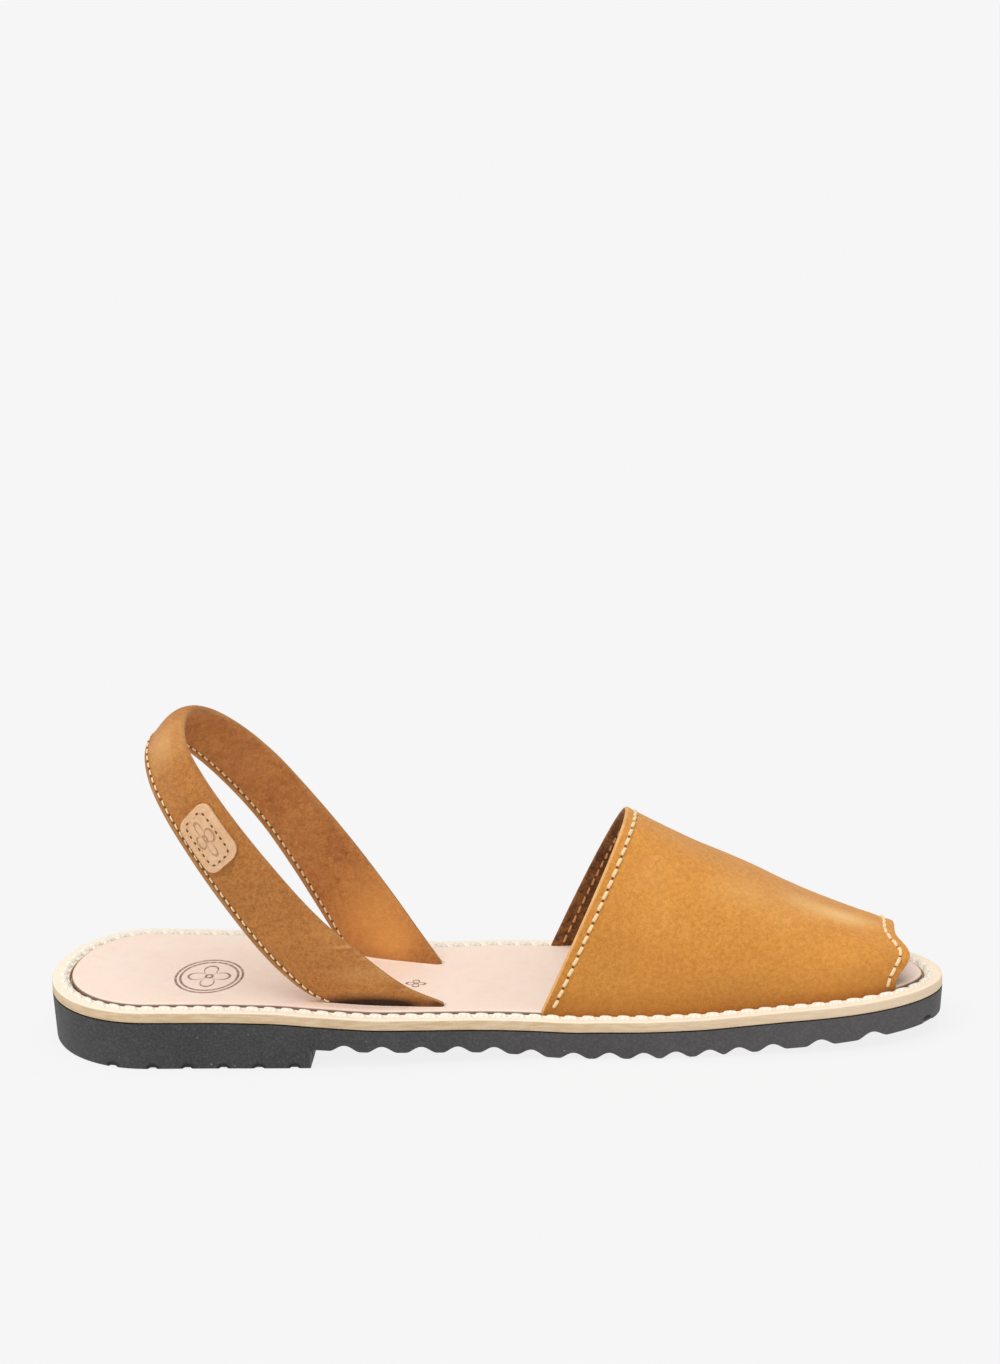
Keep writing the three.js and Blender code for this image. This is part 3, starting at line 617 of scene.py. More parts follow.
middle_mark = use(tooled_flower, Vector=built_mm(place), Centre=(*MIDDLE_MARK, 0), Radius=4.4, Squash=1.0,
                  Rings=0.0, Line=0.62)["Mask"]
worn = remap(noise(place, 900.0, 3, 0.6), 0.3, 0.6, 0.55, 1.0)
mark = times(larger(heel_mark, middle_mark), worn)
colour = tint(colour, times(mark, 0.9), (118, 76, 48))
dress(shader, colour, minus(grain["Height"], times(mark, 3.0)), 0.00007,
      remap(dye["Mask"], 0.0, 1.0, 0.56, 0.42, soft=False))

# %% Smooth leather of the tag
TAG_SIZE = (15.0, 10.6)
tag_leather = material("tag_leather", 0.55, Specular_IOR_Level=0.4)
shader, place = start(tag_leather)
grain = use(smooth_grain, Vector=place, Scale=1800.0)
colour = dyed(place, 120.0, 0.5, [(222, 172, 124), (236, 190, 146), (246, 206, 166)])["Color"]
colour = tint(colour, times(rest(grain["Pores"]), 0.3), (170, 120, 76))
colour = tint(colour, remap(noise(place, 700.0, 2, 0.5), 0.35, 0.65, 0.0, 0.22), (196, 146, 102))
tag_mm = vector_math("MULTIPLY", surface_uv(shader), (*TAG_SIZE, 0))[0]
pressed = use(tooled_flower, Vector=tag_mm, Centre=(TAG_SIZE[0] / 2, TAG_SIZE[1] / 2, 0), Radius=4.4,
              Squash=1.15, Rings=0.0, Line=0.36)["Mask"]
colour = tint(colour, times(pressed, 0.6), (166, 116, 74))
dress(shader, colour, minus(grain["Height"], times(pressed, 2.0)), 0.0001)

# %% Welt board
# Its layers show on the side, so their noise is stretched along the ground.
welt_cream = material("welt_cream", 0.62, Specular_IOR_Level=0.35)
shader, place = start(welt_cream)
layers = noise(vector_math("MULTIPLY", place, (0.12, 0.12, 1.0))[0], 1400.0, 3, 0.6)
side = remap(facing_up(shader), 0.25, 0.8, 1.0, 0.0)
colour = dyed(place, 60.0, 0.6, [(236, 212, 178), (247, 228, 199), (252, 236, 212)])["Color"]
colour = tint(colour, times(rest(side), 0.7), (255, 244, 226))
colour = tint(colour, times(side, remap(layers, 0.35, 0.65, 0.5, 0.9)), (213, 180, 136))
colour = tint(colour, remap(separate(place)[0], 0.02, 0.12, 0.0, 0.6, soft=False), (255, 232, 204))
dress(shader, colour, plus(times(layers, side), noise(place, 1800.0, 3, 0.6)), 0.00008)

# %% Threads, and painted shade in the needle holes


def twisted(name, light, dark, depth):
    """Thread of three turns to a stitch: painted shade between its strands, in the dark colour, with a little
    fuzz.
    """
    made = material(name, 0.7, Sheen_Weight=0.2, Sheen_Roughness=0.5)
    shader, place = start(made)
    height = use(thread_twist, Vector=surface_uv(shader), Turns=3.0)["Height"]
    fuzz = noise(place, 3000.0, 3, 0.7)
    colour = blend(remap(height, 0.0, 0.5, 0.55, 0.0), linear(*light), linear(*dark))
    dress(shader, tint(colour, times(fuzz, 0.18), dark), plus(height, times(fuzz, 0.3)), depth)
    return made


thread = twisted("cream_thread", (255, 236, 186), (255, 212, 152), 0.0001)
inner_thread = twisted("tan_thread", (226, 168, 104), (170, 108, 58), 0.0001)
tag_thread = twisted("tag_thread", (246, 212, 162), (196, 148, 98), 0.0001)
welt_thread = twisted("welt_thread", (255, 250, 236), (242, 222, 194), 0.00016)

# the needle holes get painted shade: dark lenses in a flat brown
needle_hole_shade = material("needle_hole_shade", 0.95, Specular_IOR_Level=0.1)
shader, place = start(needle_hole_shade)
patchy = blend(noise(place, 2000.0, 2, 0.5), linear(112, 64, 30), linear(150, 92, 48))
feed(shader.inputs["Base Color"], patchy)

# %% Rubber
rubber = material("sole_rubber", 0.62, Specular_IOR_Level=0.35)
shader, place = start(rubber)
dye = dyed(place, 30.0, 0.45, [(52, 51, 52), (60, 59, 60), (71, 69, 70)])
few = remap(noise(place, 350.0, 2, 0.5), 0.5, 0.66)
specks = times(rest(remap(cells(place, 420.0), 0.05, 0.16)), few)
colour = tint(dye["Color"], times(specks, 0.55), (170, 166, 162))
colour = tint(colour, remap(noise(place, 1400.0, 3, 0.7), 0.4, 0.7, 0.0, 0.14), (150, 146, 144))
colour = tint(colour, remap(separate(place)[0], -0.06, 0.12, 0.0, 0.16, soft=False), (150, 144, 146))
# painted shade: the blind notches of the heel, and the one at the toe, are drawn black inside
heel_notches, toe_notch = NOTCHES_AT[:-1] * LENGTH, NOTCHES_AT[-1] * LENGTH
notch_shade = spots(place, [((at, 0, 0), (2.9, 200, 2.6), 2.4) for at in heel_notches]
             + [((toe_notch, -14.6, 5.3), (1.6, 4, 1.2), 2.4)])
colour = tint(colour, times(notch_shade, 1.0, clamp=True), (14, 13, 13))
dress(shader, colour, noise(place, 1600.0, 4, 0.65), 0.00012,
      remap(dye["Mask"], 0.0, 1.0, 0.68, 0.55, soft=False))
print("materials:", [m.name for m in bpy.data.materials if m.use_nodes])

# %% [markdown]
# ## Rubber outsole
#
# The real outsole is one moulding with a heel block and cross lugs. A section is carried from heel to toe:
# down the inner wall, across the tread and up the outer wall, and the tread's height is cut by a smooth
# hollow at each groove. The lower corners are rounded, as a mould leaves them.

# %% Outsole


def tread_cut(x, notched=1):
    """Depth cut into the tread: depth * (1 - (distance / reach)^2)^2 inside each groove, which leaves rounded
    lugs, and depth * (1 - (distance / half width)^2) inside each notch. The notches are blind, so the middle
    has none."""
    def away(at, reach):
        return np.minimum(np.abs(x[..., None] - at * LENGTH) / reach, 1)
    grooves = GROOVE_DEPTH * ((1 - away(GROOVES_AT, GROOVE_HALF_WIDTH * GROOVE_FLARE) ** 2) ** 2).max(-1)
    notches = NOTCH_DEPTH * (1 - away(NOTCHES_AT, NOTCH_HALF_WIDTH) ** 2).max(-1)
    return np.maximum(grooves, notches * notched)


def turn_from_x(x):
    """The turn of an outline point at x, from x = LENGTH (1 - cos(pi turn)) / 2."""
    return np.arccos(1 - 2 * x / LENGTH) / np.pi


# even turns, a fine row of places for the grooves, and two just before and after the heel's breast
breast = HEEL_BREAST_AT * LENGTH
turns = np.unique(np.concatenate([np.linspace(0, 1, 161), turn_from_x(np.arange(6, LENGTH - 1, 0.55)),
                                  turn_from_x(np.array([breast - 0.02, breast + 0.02]))]))


def outsole_section():
    """For each turn: down the inner wall, across the tread, up the outer wall and back over the top."""
    corner = 0.7
    wall = []
    for side in (-1, 1):
        column = []
        for rise in (1, 0.66, 0.33):
            flat = inset_edge(side, turns, WALL_DRAFT * (1 - rise))
            low = underside(flat[:, 0]) + tread_cut(flat[:, 0]) + corner
            column.append(np.column_stack([flat, mix(low, rubber_top(flat[:, 0]), rise)]))
        for angle in np.radians((0, 22, 45, 68, 90)):
            flat = inset_edge(side, turns, WALL_DRAFT + corner * (1 - np.cos(angle)))
            low = underside(flat[:, 0]) + tread_cut(flat[:, 0]) + corner * (1 - np.sin(angle))
            column.append(np.column_stack([flat, low]))
        wall.append(column)
    inner, outer = wall
    across = []
    for share in (0.014, 0.12, 0.3, 0.5, 0.7, 0.88, 0.986):
        flat = mix(inner[-1][:, :2], outer[-1][:, :2], share)
        across.append(np.column_stack([flat, underside(flat[:, 0]) + tread_cut(flat[:, 0], notched=0)]))
    top = []
    for share in (0.85, 0.5, 0.15):
        flat = mix(inner[0][:, :2], outer[0][:, :2], share)
        top.append(np.column_stack([flat, rubber_top(flat[:, 0])]))
    return np.stack(inner + across + outer[::-1] + top, 1)


section = outsole_section()
section_faces = quads_of(*section.shape[:2], wrap_cols=True)
outsole_piece = add_piece("outsole_rubber", section, section_faces, [rubber], sharp=50)
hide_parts("outsole")

# %% [markdown]
# ## Welt
#
# The cream layer is a strip of leather board. Its rim carries the thick seam in a shallow channel. A profile
# of insets and heights goes once round the outline, with soft corners where the trimming knife ran.

# %% Welt rim and tray
CHANNEL_AT, CHANNEL_WIDTH, CHANNEL_DEPTH = 3.7, 1.5, 0.45


def rim_surface(inset):
    """Rim height at an inset: the flat top less a round channel under the seam."""
    dip = CHANNEL_DEPTH * np.exp(-((inset - CHANNEL_AT) / CHANNEL_WIDTH * 1.6) ** 2)
    return lambda x: rim_top(x) - dip


def lifted(base, by):
    return lambda x: base(x) + by


bottom = lifted(rubber_top, SEAM)
levels = [(0.6, bottom), (0.25, lifted(bottom, 0.05)), (0, lifted(bottom, 0.3)), (0, lifted(bottom, 1.2)),
          (0, lifted(bottom, 2.2)), (0, lifted(rim_top, -0.45)), (0.13, lifted(rim_top, -0.13)),
          (0.45, rim_top), (1.2, rim_top)]
levels += [(inset, rim_surface(inset)) for inset in np.arange(2.0, 4.9, 0.28)]
levels += [(RIM_WIDTH - 0.12, lifted(rim_top, -0.3)), (RIM_WIDTH, lifted(rim_top, -0.7)),
           (RIM_WIDTH, lifted(tray_floor, 0.2)), (RIM_WIDTH + 0.2, tray_floor)]
rim = around_sole(levels)
rim_faces = quads_of(*rim.shape[:2], wrap_cols=True)
welt_piece = add_piece("welt_tray", rim, rim_faces, [welt_cream], sharp=60)
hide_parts("midsole")

# %% [markdown]
# ## Insole
#
# Smooth natural leather with a softly turned edge. Once the strap has its place, the two slits are cut out
# of the finished sheet with a Boolean of two thin upright blocks, which is how a punch does it.

# %% Insole sheet
edge_inset = RIM_WIDTH + INSOLE_GROOVE
floor_under = lifted(tray_floor, SEAM)
levels = [(edge_inset + 0.2, floor_under), (edge_inset, lifted(floor_under, 0.3)),
          (edge_inset, lifted(insole_top, -0.9)), (edge_inset + 0.1, lifted(insole_top, -0.45)),
          (edge_inset + 0.4, lifted(insole_top, -0.13)), (edge_inset + 0.9, lifted(insole_top, -0.02)),
          (edge_inset + 1.8, insole_top), (edge_inset + 3.5, insole_top)]
sheet = around_sole(levels)
sheet_faces = quads_of(*sheet.shape[:2], wrap_cols=True)
insole_piece = add_piece("insole_sheet", sheet, sheet_faces, [insole_leather], sharp=60)
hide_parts("insole")

# %% [markdown]
# ## Shells of even thickness
#
# Leather is a sheet with a thickness. One function makes all of them: the middle surface is a function of two
# shares, its normal comes from the cross product of the two slopes, and the wall goes out, round the lip at
# one end, back on the other face and round the second lip. The long sides are rounded in the same way.

# %% Shell from a middle surface


def slopes_of(point, a, b):
    """Unit vectors along a, along b and square to both."""
    step = 1e-3
    along_a = point(np.minimum(a + step, 1), b) - point(np.maximum(a - step, 0), b)
    along_b = point(a, np.minimum(b + step, 1)) - point(a, np.maximum(b - step, 0))
    return unit(along_a), unit(along_b), unit(np.cross(along_b, along_a))


LIPS = 5  # rows of points round a lip


def past_end(share, end):
    """0 on the free part and 1 at the very ends, rising over the share end before each of them."""
    return np.maximum(np.maximum(end - share, share - 1 + end), 0) / end


def shell(point, a, b, wall, outside=1, press=None, notch=0.0, solid=None):
    """Closed wall about point(a, b), or with its outer face where a wall of thickness solid would have it.
    Each column is q = p + n * wall / 2 * w(u) + t * e(u), where u goes round a stadium: outer face (w = 1),
    half circle at the last a, inner face (w = -1), half circle at the first a. press(a, b) is added to the
    outer face, and notch draws in the side at the first b. Returns the grid, which face each row lies on
    (0 outer, 1 lip, 2 inner), and each point's own two shares."""
    A, B = np.meshgrid(a, b, indexing="ij")
    P = point(A, B)
    ta, tb, n = slopes_of(point, A, B)
    n = n * outside
    half = wall / 2
    P = P + n * ((solid or wall) - wall) / 2
    push = press(A, B) if press is not None else np.zeros_like(A)
    # long sides: columns past the first and last b, drawn in to the middle surface over a quarter circle
    quarter = np.linspace(0, np.pi / 2, LIPS)[1:]
    off = half * np.sin(quarter)
    thin = np.cos(quarter)
    off_first = off.copy()
    off_first[-1] -= notch
    before_P = P[:, :1] - tb[:, :1] * off_first[::-1, None]
    after_P = P[:, -1:] + tb[:, -1:] * off[:, None]
    P = np.concatenate([before_P, P, after_P], 1)

    def spread(M):
        return np.concatenate([np.repeat(M[:, :1], len(off), 1), M, np.repeat(M[:, -1:], len(off), 1)], 1)

    ta, n, push = spread(ta), spread(n), spread(push)
    w = np.concatenate([thin[::-1], np.ones(len(b)), thin])[None, :, None] * half
    outer = P + n * (w + push[..., None] * (w / half))
    inner = P - n * w
    lip_out, lip_in = [], []
    for angle in np.linspace(0, np.pi, LIPS + 2)[1:-1]:
        lip_out.append(P[-1] + n[-1] * w[0] * np.cos(angle) + ta[-1] * w[0] * np.sin(angle))
        lip_in.append(P[0] - n[0] * w[0] * np.cos(angle) - ta[0] * w[0] * np.sin(angle))
    grid = np.concatenate([outer, np.array(lip_out), inner[::-1], np.array(lip_in)])
    kind = np.repeat([0, 1, 2, 1], [len(a), LIPS, len(a), LIPS])
    rows = np.concatenate([a, np.full(LIPS, a[-1]), a[::-1], np.full(LIPS, a[0])])
    cols = np.concatenate([np.full(len(off), b[0]), b, np.full(len(off), b[-1])])
    return grid, kind, np.stack(np.meshgrid(rows, cols, indexing="ij"), -1)


# %% [markdown]
# ## Creases placed one by one
#
# Lasted leather is not perfectly even: it bows a little where it turns a corner and keeps a few soft folds.
# The main ones in the photo are given as short lines in millimetres, each with a depth and a width. The same
# function serves any piece, since a crease only asks how far a point is from its line.

# %% Soft troughs and ridges


def creases(points, rows):
    """Sum over the rows (from, to, depth, width) of depth * exp(-(d / width)^2), where d is the distance from
    the line, or from its nearer end for a point past it."""
    total = np.zeros(points.shape[:-1])
    for start, end, depth, width in rows:
        start, end = np.array(start, float), np.array(end, float)
        along = (points - start) @ (end - start) / ((end - start) @ (end - start))
        nearest = start + np.clip(along, 0, 1)[..., None] * (end - start)
        total += depth * np.exp(-((np.linalg.norm(points - nearest, axis=-1) / width) ** 2))
    return total


# from, to, depth (out is positive), width
VAMP_CREASES = [
    ((243, -11, 27), (236, -8, 30), -0.3, 2.6), ((240, -5, 30), (226, -5.5, 34), 0.3, 3.5),
    ((236, -9, 30), (222, -10, 34), -0.22, 3.2), ((232, 8, 32), (216, 12, 38), -0.3, 5),
    ((167, -25, 30), (182, -26, 20), -0.3, 5), ((190, -26, 24), (214, -25, 19), 0.25, 4.5),
    ((205, -21, 30), (226, -18, 26), -0.25, 5), ((186, -17, 44), (206, -15, 39), 0.3, 7),
    ((171, -20, 44), (181, -17, 44), -0.2, 5), ((196, 0, 49), (210, -4, 43), -0.25, 6),
    ((170, 28, 30), (190, 32, 24), -0.3, 5), ((200, 30, 26), (224, 26, 22), 0.25, 5),
]
STRAP_CREASES = [
    ((86, -28, 27), (104, -27, 20), -0.22, 2.6), ((72, -29, 40), (90, -28, 33), 0.2, 3.5),
    ((100, -27, 18), (112, -26, 16), 0.2, 1.8), ((82, -28, 20), (92, -27, 17), 0.2, 2),
    ((39, -16, 89), (45, -22, 80), 0.2, 4), ((60, -29, 58), (66, -29, 48), -0.18, 3.5),
    ((59, 14, 78), (68, 16, 68), -0.2, 4), ((88, 16, 40), (96, 14, 30), 0.2, 4),
]

# %% [markdown]
# ## Vamp
#
# One piece of nubuck, lasted over the foot. Its middle surface goes from the collar (along = 0) to the toe
# opening (along = 1) and from the inner base over the crest to the outer base. Each section is a squared
# ellipse, which gives full sides under a rounded crest.

# %% Vamp surface
COLLAR_BASE_AT, COLLAR_CREST_AT, TOE_CREST_AT = 0.557, 0.651, 0.947
TOE_BASE_AT = {-1: 0.947, 1: 0.925}
COLLAR_HEIGHT, CREST_SIDE = 52, 2
TOE_SHOULDER = {-1: 5.7, 1: 0.5}
ARCH = {-1: (0.85, 0.68), 1: (0.92, 0.95)}
# share of the way along, share of the collar's height
VAMP_CREST = np.array([(0.0, 1.0), (0.15, 0.866), (0.26, 0.771), (0.37, 0.685), (0.49, 0.586), (0.6, 0.488),
                       (0.71, 0.402), (0.82, 0.335), (0.94, 0.275), (1.0, 0.248)])
FOOT = 1 / 40
BASE_INSET = RIM_WIDTH + VAMP_GAP + VAMP_WALL / 2


def vamp_half(side, along, over):
    """One side of the vamp's middle surface; the formula is under vamp_point."""
    angle = np.pi * np.clip((over - FOOT) / (1 - 2 * FOOT), 0, 1)
    base_x = mix(COLLAR_BASE_AT, TOE_BASE_AT[side], along) * LENGTH
    crest_x = mix(COLLAR_CREST_AT, TOE_CREST_AT, along) * LENGTH
    base = inset_edge(side, turn_at(side, base_x, BASE_INSET), BASE_INSET)
    low = mix(insole_top(base[..., 0]), tray_floor(base[..., 0]) + VAMP_GAP, past_end(over, FOOT))
    crest = COLLAR_HEIGHT * smooth(VAMP_CREST[:, 0], VAMP_CREST[:, 1], along)
    high = insole_top(crest_x) + crest - VAMP_WALL / 2
    square = mix(*ARCH[side], along)
    sine = np.maximum(np.sin(angle), 0)
    rise = sine ** ((1 + square) / 2)
    spread = np.abs(np.cos(angle)) ** square
    lean = rise ** mix(1, 1.6, along)
    swing = TOE_SHOULDER[side] * along**4 * np.sin(2 * angle) ** 2 * np.abs(np.cos(angle))
    return np.stack([mix(base[..., 0], crest_x, lean) + swing,
                     CREST_SIDE + (base[..., 1] - CREST_SIDE) * spread, mix(low, high, rise)], -1)


def vamp_point(along, over):
    """x = base + (crest - base) * rise^lean + swing, y = crest side + half width * |cos|^square,
    z = low + (high - low) * sin^((1 + square) / 2), with its own numbers for the inner and outer half."""
    return np.where((over < 0.5)[..., None], vamp_half(-1, along, over), vamp_half(1, along, over))


# %% Distance from the vamp's two edges
# It is read from a table over (along, over): each entry is the smallest distance to the points of one edge.
CELLS = 80


def edge_table(edge_along):
    line = vamp_point(np.full(600, float(edge_along)), np.linspace(FOOT, 1 - FOOT, 600))
    shares = np.linspace(0, 1, CELLS + 1)
    points = vamp_point(*np.meshgrid(shares, shares, indexing="ij"))
    return np.linalg.norm(points[:, :, None] - line, axis=-1).min(-1)


def from_table(table, along, over):
    """Straight-line reading between the four nearest entries."""
    i, j = np.asarray(along) * CELLS, np.asarray(over) * CELLS
    i0, j0 = np.minimum(i.astype(int), CELLS - 1), np.minimum(j.astype(int), CELLS - 1)
    here, there = (mix(table[i0, col], table[i0 + 1, col], i - i0) for col in (j0, j0 + 1))
    return mix(here, there, j - j0)


collar_table, toe_table = edge_table(0), edge_table(1)
print("leather on the crest from collar to toe:", round(float(collar_table[CELLS, CELLS // 2]), 1), "mm")

# %% Vamp leather
COLLAR_SEAM, TOE_SEAM = 2.9, 3.0  # distance of each seam from its edge
COLLAR_PULL, TOE_PULL = 0.2, 0.25  # how far each seam pulls the leather in


def vamp_press(along, over):
    """-pull * exp(-(distance from the seam)^2) for both seams, in mm, and the creases."""
    at_collar = from_table(collar_table, along, over) - COLLAR_SEAM
    at_toe = from_table(toe_table, along, over) - TOE_SEAM
    return (creases(vamp_point(along, over), VAMP_CREASES)
            - COLLAR_PULL * np.exp(-at_collar**2) - TOE_PULL * np.exp(-at_toe**2))


VAMP_LEATHER = 1.4  # the leather itself; the solid's 2 mm leave room for how it gives
lip = VAMP_LEATHER / 2 / 100
near_edges = lip + np.linspace(0, 1, 15) * 0.08
along_steps = np.unique(np.concatenate([near_edges, np.linspace(0.09, 0.91, 90), 1 - near_edges]))
foot_steps = np.linspace(0, FOOT, 4)
over_steps = np.unique(np.concatenate([foot_steps, np.linspace(FOOT, 1 - FOOT, 190), 1 - foot_steps]))
grid, _, shares = shell(vamp_point, along_steps, over_steps, VAMP_LEATHER, outside=-1, press=vamp_press,
                        solid=VAMP_WALL)
vamp_faces = quads_of(*grid.shape[:2], wrap_rows=True)
# Strips from the collar over the outer face and round the toe's lip, back on the inner face and half round
# the collar's lip as lining, and the rest of that lip as a cut edge.
strips = np.repeat([0, 2, 1], [len(along_steps) + 5, len(along_steps) + 2, 3])
slots = np.repeat(strips, grid.shape[1] - 1)
along, over = shares[..., 0], shares[..., 1]
uv = np.stack([from_table(collar_table, along, over), over * VAMP_ROUND], -1) / 100
vamp_piece = add_piece("vamp_leather", grid, vamp_faces, [nubuck, cut_edge, lining], uv=uv, face_slots=slots,
                       sharp=70)
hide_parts("vamp")

# %% [markdown]
# ## Heel strap
#
# A folded leather band. Its two long edges are the same routes as the solid's, read through a centripetal
# Catmull-Rom curve, and the band crowns a little between them.

# %% Strap surface
# rear edge, then fore edge: share of LENGTH, of HEEL_WIDTH and, over the insole, of STRAP_HEIGHT
STRAP_PATH = np.array([
    (0.319, -0.350, 0.020, 0.450, -0.337, -0.005), (0.301, -0.366, 0.052, 0.410, -0.354, 0.066),
    (0.280, -0.380, 0.110, 0.363, -0.376, 0.194), (0.254, -0.390, 0.203, 0.313, -0.386, 0.352),
    (0.209, -0.394, 0.406, 0.264, -0.383, 0.545), (0.178, -0.380, 0.561, 0.226, -0.359, 0.706),
    (0.151, -0.338, 0.700, 0.196, -0.296, 0.830), (0.133, -0.254, 0.799, 0.178, -0.218, 0.911),
    (0.126, -0.155, 0.865, 0.172, -0.127, 0.967), (0.129, -0.056, 0.898, 0.178, -0.021, 0.996),
    (0.143, 0.049, 0.872, 0.195, 0.077, 0.965), (0.166, 0.141, 0.794, 0.222, 0.155, 0.891),
    (0.197, 0.206, 0.674, 0.257, 0.217, 0.771), (0.234, 0.242, 0.516, 0.295, 0.244, 0.618),
    (0.268, 0.252, 0.340, 0.342, 0.246, 0.420), (0.299, 0.245, 0.167, 0.384, 0.223, 0.233),
    (0.317, 0.237, 0.067, 0.415, 0.186, 0.094), (0.326, 0.230, 0.020, 0.437, 0.149, -0.005),
])
LEG, STRAP_CROWN = 0.03, 2.1


def strap_edge_points(columns):
    """One edge in mm; where the route ends, it stops clear of the insole's top."""
    x = STRAP_PATH[:, columns[0]] * LENGTH
    z = insole_top(SLITS_AT * LENGTH) + STRAP_PATH[:, columns[2]] * STRAP_HEIGHT
    return np.column_stack([x, STRAP_PATH[:, columns[1]] * HEEL_WIDTH,
                            np.maximum(z, insole_top(x) + SLIT_CLEARANCE + SEAM)])


def curve(points, t):
    """Centripetal Catmull-Rom: cubic pieces whose end slopes use the square roots of the three spacings."""
    ends = np.concatenate([2 * points[:1] - points[1:2], points, 2 * points[-1:] - points[-2:-1]])
    where = t * (len(points) - 1)
    i = np.minimum(where.astype(int), len(points) - 2)
    w = (where - i)[..., None]
    p0, p1, p2, p3 = (ends[i + k] for k in range(4))
    steps = (p1 - p0, p2 - p1, p3 - p2)
    d0, d1, d2 = (np.sqrt(np.linalg.norm(step, axis=-1, keepdims=True)) for step in steps)
    m1 = d1 * ((p1 - p0) / d0 - (p2 - p0) / (d0 + d1) + (p2 - p1) / d1)
    m2 = d1 * ((p2 - p1) / d1 - (p3 - p1) / (d1 + d2) + (p3 - p2) / d2)
    return p1 + m1 * w + (3 * (p2 - p1) - 2 * m1 - m2) * w**2 + (2 * (p1 - p2) + m1 + m2) * w**3


rear_points, fore_points = strap_edge_points((0, 1, 2)), strap_edge_points((3, 4, 5))


def strap_flat(along, across):
    """The straight line between the rear and the fore edge; each end stands upright in its slit."""
    free = np.clip((along - LEG) / (1 - 2 * LEG), 0, 1)
    here = mix(curve(rear_points, free), curve(fore_points, free), across[..., None])
    here[..., 2] = mix(here[..., 2], tray_floor(here[..., 0]) + SEAM, past_end(along, LEG))
    return here


def strap_point(along, across):
    """The flat band plus its bulge: crown * s^2 (3 - 2 s) * 27/4 across^2 (1 - across), where s falls to 0 at
    the slits."""
    share = np.clip((np.minimum(along, 1 - along) - 0.1) / 0.3, 0, 1)
    crown = STRAP_CROWN * share**2 * (3 - 2 * share) * 6.75 * across**2 * (1 - across)
    _, _, n = slopes_of(strap_flat, along, across)
    return strap_flat(along, across) + n * crown[..., None]


def strap_width(along):
    return np.linalg.norm(strap_flat(along, along * 0 + 1) - strap_flat(along, along * 0), axis=-1)


def strap_band(along, b):
    """The same surface between the middles of its two rounded edges, which lie half a wall inside."""
    inside = STRAP_WALL / 2 / strap_width(along)
    return strap_point(along, mix(inside, 1 - inside, b))


def strap_press(along, b):
    """The seam pulls a shallow furrow along the rear edge, and bends leave soft troughs and ridges."""
    furrow = -0.18 * np.exp(-((b * strap_width(along) - 0.7) / 0.7) ** 2)
    return furrow + creases(strap_band(along, b), STRAP_CREASES)


grid, kind, shares = shell(strap_band, np.linspace(0.004, 0.996, 300), np.linspace(0, 1, 30), STRAP_WALL,
                           press=strap_press, notch=0.55)
# A strip of faces lies between two rows and counts as a face of the band only where both rows do. The rounded
# rear edge and the last column of the fore edge are cut edge.
strips = np.where(kind == np.roll(kind, -1), kind, 1)
slots = np.tile(strips[:, None], grid.shape[1] - 1)
slots[:, :4] = 1
slots[:, -1] = 1
along, b = shares[..., 0], shares[..., 1]
uv = np.stack([along * STRAP_LONG, b * (strap_width(along) - STRAP_WALL)], -1) / 100
strap_piece = add_piece("strap_leather", grid, quads_of(*grid.shape[:2], wrap_rows=True),
                        [strap_nubuck, band_edge, strap_inside], uv=uv, face_slots=slots.ravel(), sharp=70)
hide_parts("heel_strap")

# %% Slits in the insole


def plain(value):
    return np.array(float(value))


def slit_block(along):
    """An upright block round one leg of the strap, as for a punch."""
    rear, fore = strap_point(plain(along), plain(0)), strap_point(plain(along), plain(1))
    line = unit((fore - rear)[:2])
    square = np.array([-line[1], line[0]])
    out, wide = line * SLIT_CLEARANCE, square * (STRAP_WALL / 2 + SLIT_CLEARANCE)
    rear, fore = rear[:2] - out, fore[:2] + out
    corners = [rear - wide, fore - wide, fore + wide, rear + wide]
    return np.array([(*corner, height) for height in (0, 40) for corner in corners])


BLOCK_FACES = [(0, 1, 2, 3), (7, 6, 5, 4), (0, 4, 5, 1), (1, 5, 6, 2), (2, 6, 7, 3), (3, 7, 4, 0)]


for along in (0.0, 1.0):
    block_mesh = bpy.data.meshes.new("slit_block")
    block_mesh.from_pydata(((slit_block(along) - SHIFT) / 1000).tolist(), [], BLOCK_FACES)
    block = bpy.data.objects.new("slit_block", block_mesh)
    bpy.context.scene.collection.objects.link(block)
    cut = insole_piece.modifiers.new("slit", "BOOLEAN")
    cut.operation, cut.solver, cut.object = "DIFFERENCE", "EXACT", block
    bpy.context.view_layer.update()
    evaluated = insole_piece.evaluated_get(bpy.context.evaluated_depsgraph_get())
    cut_mesh = bpy.data.meshes.new_from_object(evaluated)
    insole_piece.modifiers.clear()
    insole_piece.data = cut_mesh
    bpy.data.objects.remove(block)
insole_piece.data.name = "insole_sheet"
print("insole after both slits:", len(insole_piece.data.polygons), "faces")

# %% [markdown]
# ## Tag
#
# A small patch of natural leather on the inner side of the strap, with round corners and a line of stitches.
# A faint flower is pressed into it.

# %% Tag
TAG_FROM, TAG_TO, TAG_REAR, TAG_FORE = 0.276, 0.34, 0.2, 0.77


def strap_face(along, across, lift):
    """A point at a height over the strap's outer face."""
    _, _, n = slopes_of(strap_point, along, across)
    return strap_point(along, across) + n * np.asarray(STRAP_WALL / 2 + lift)[..., None]


def strap_distance(*places):
    """Straight distance in mm between two places (along, across)."""
    one, other = (strap_point(plain(along), plain(across)) for along, across in places)
    return np.linalg.norm(one - other)


tag_long = strap_distance((TAG_FROM, 0.5), (TAG_TO, 0.5))
tag_wide = strap_distance((TAG_FROM, TAG_REAR), (TAG_FROM, TAG_FORE))


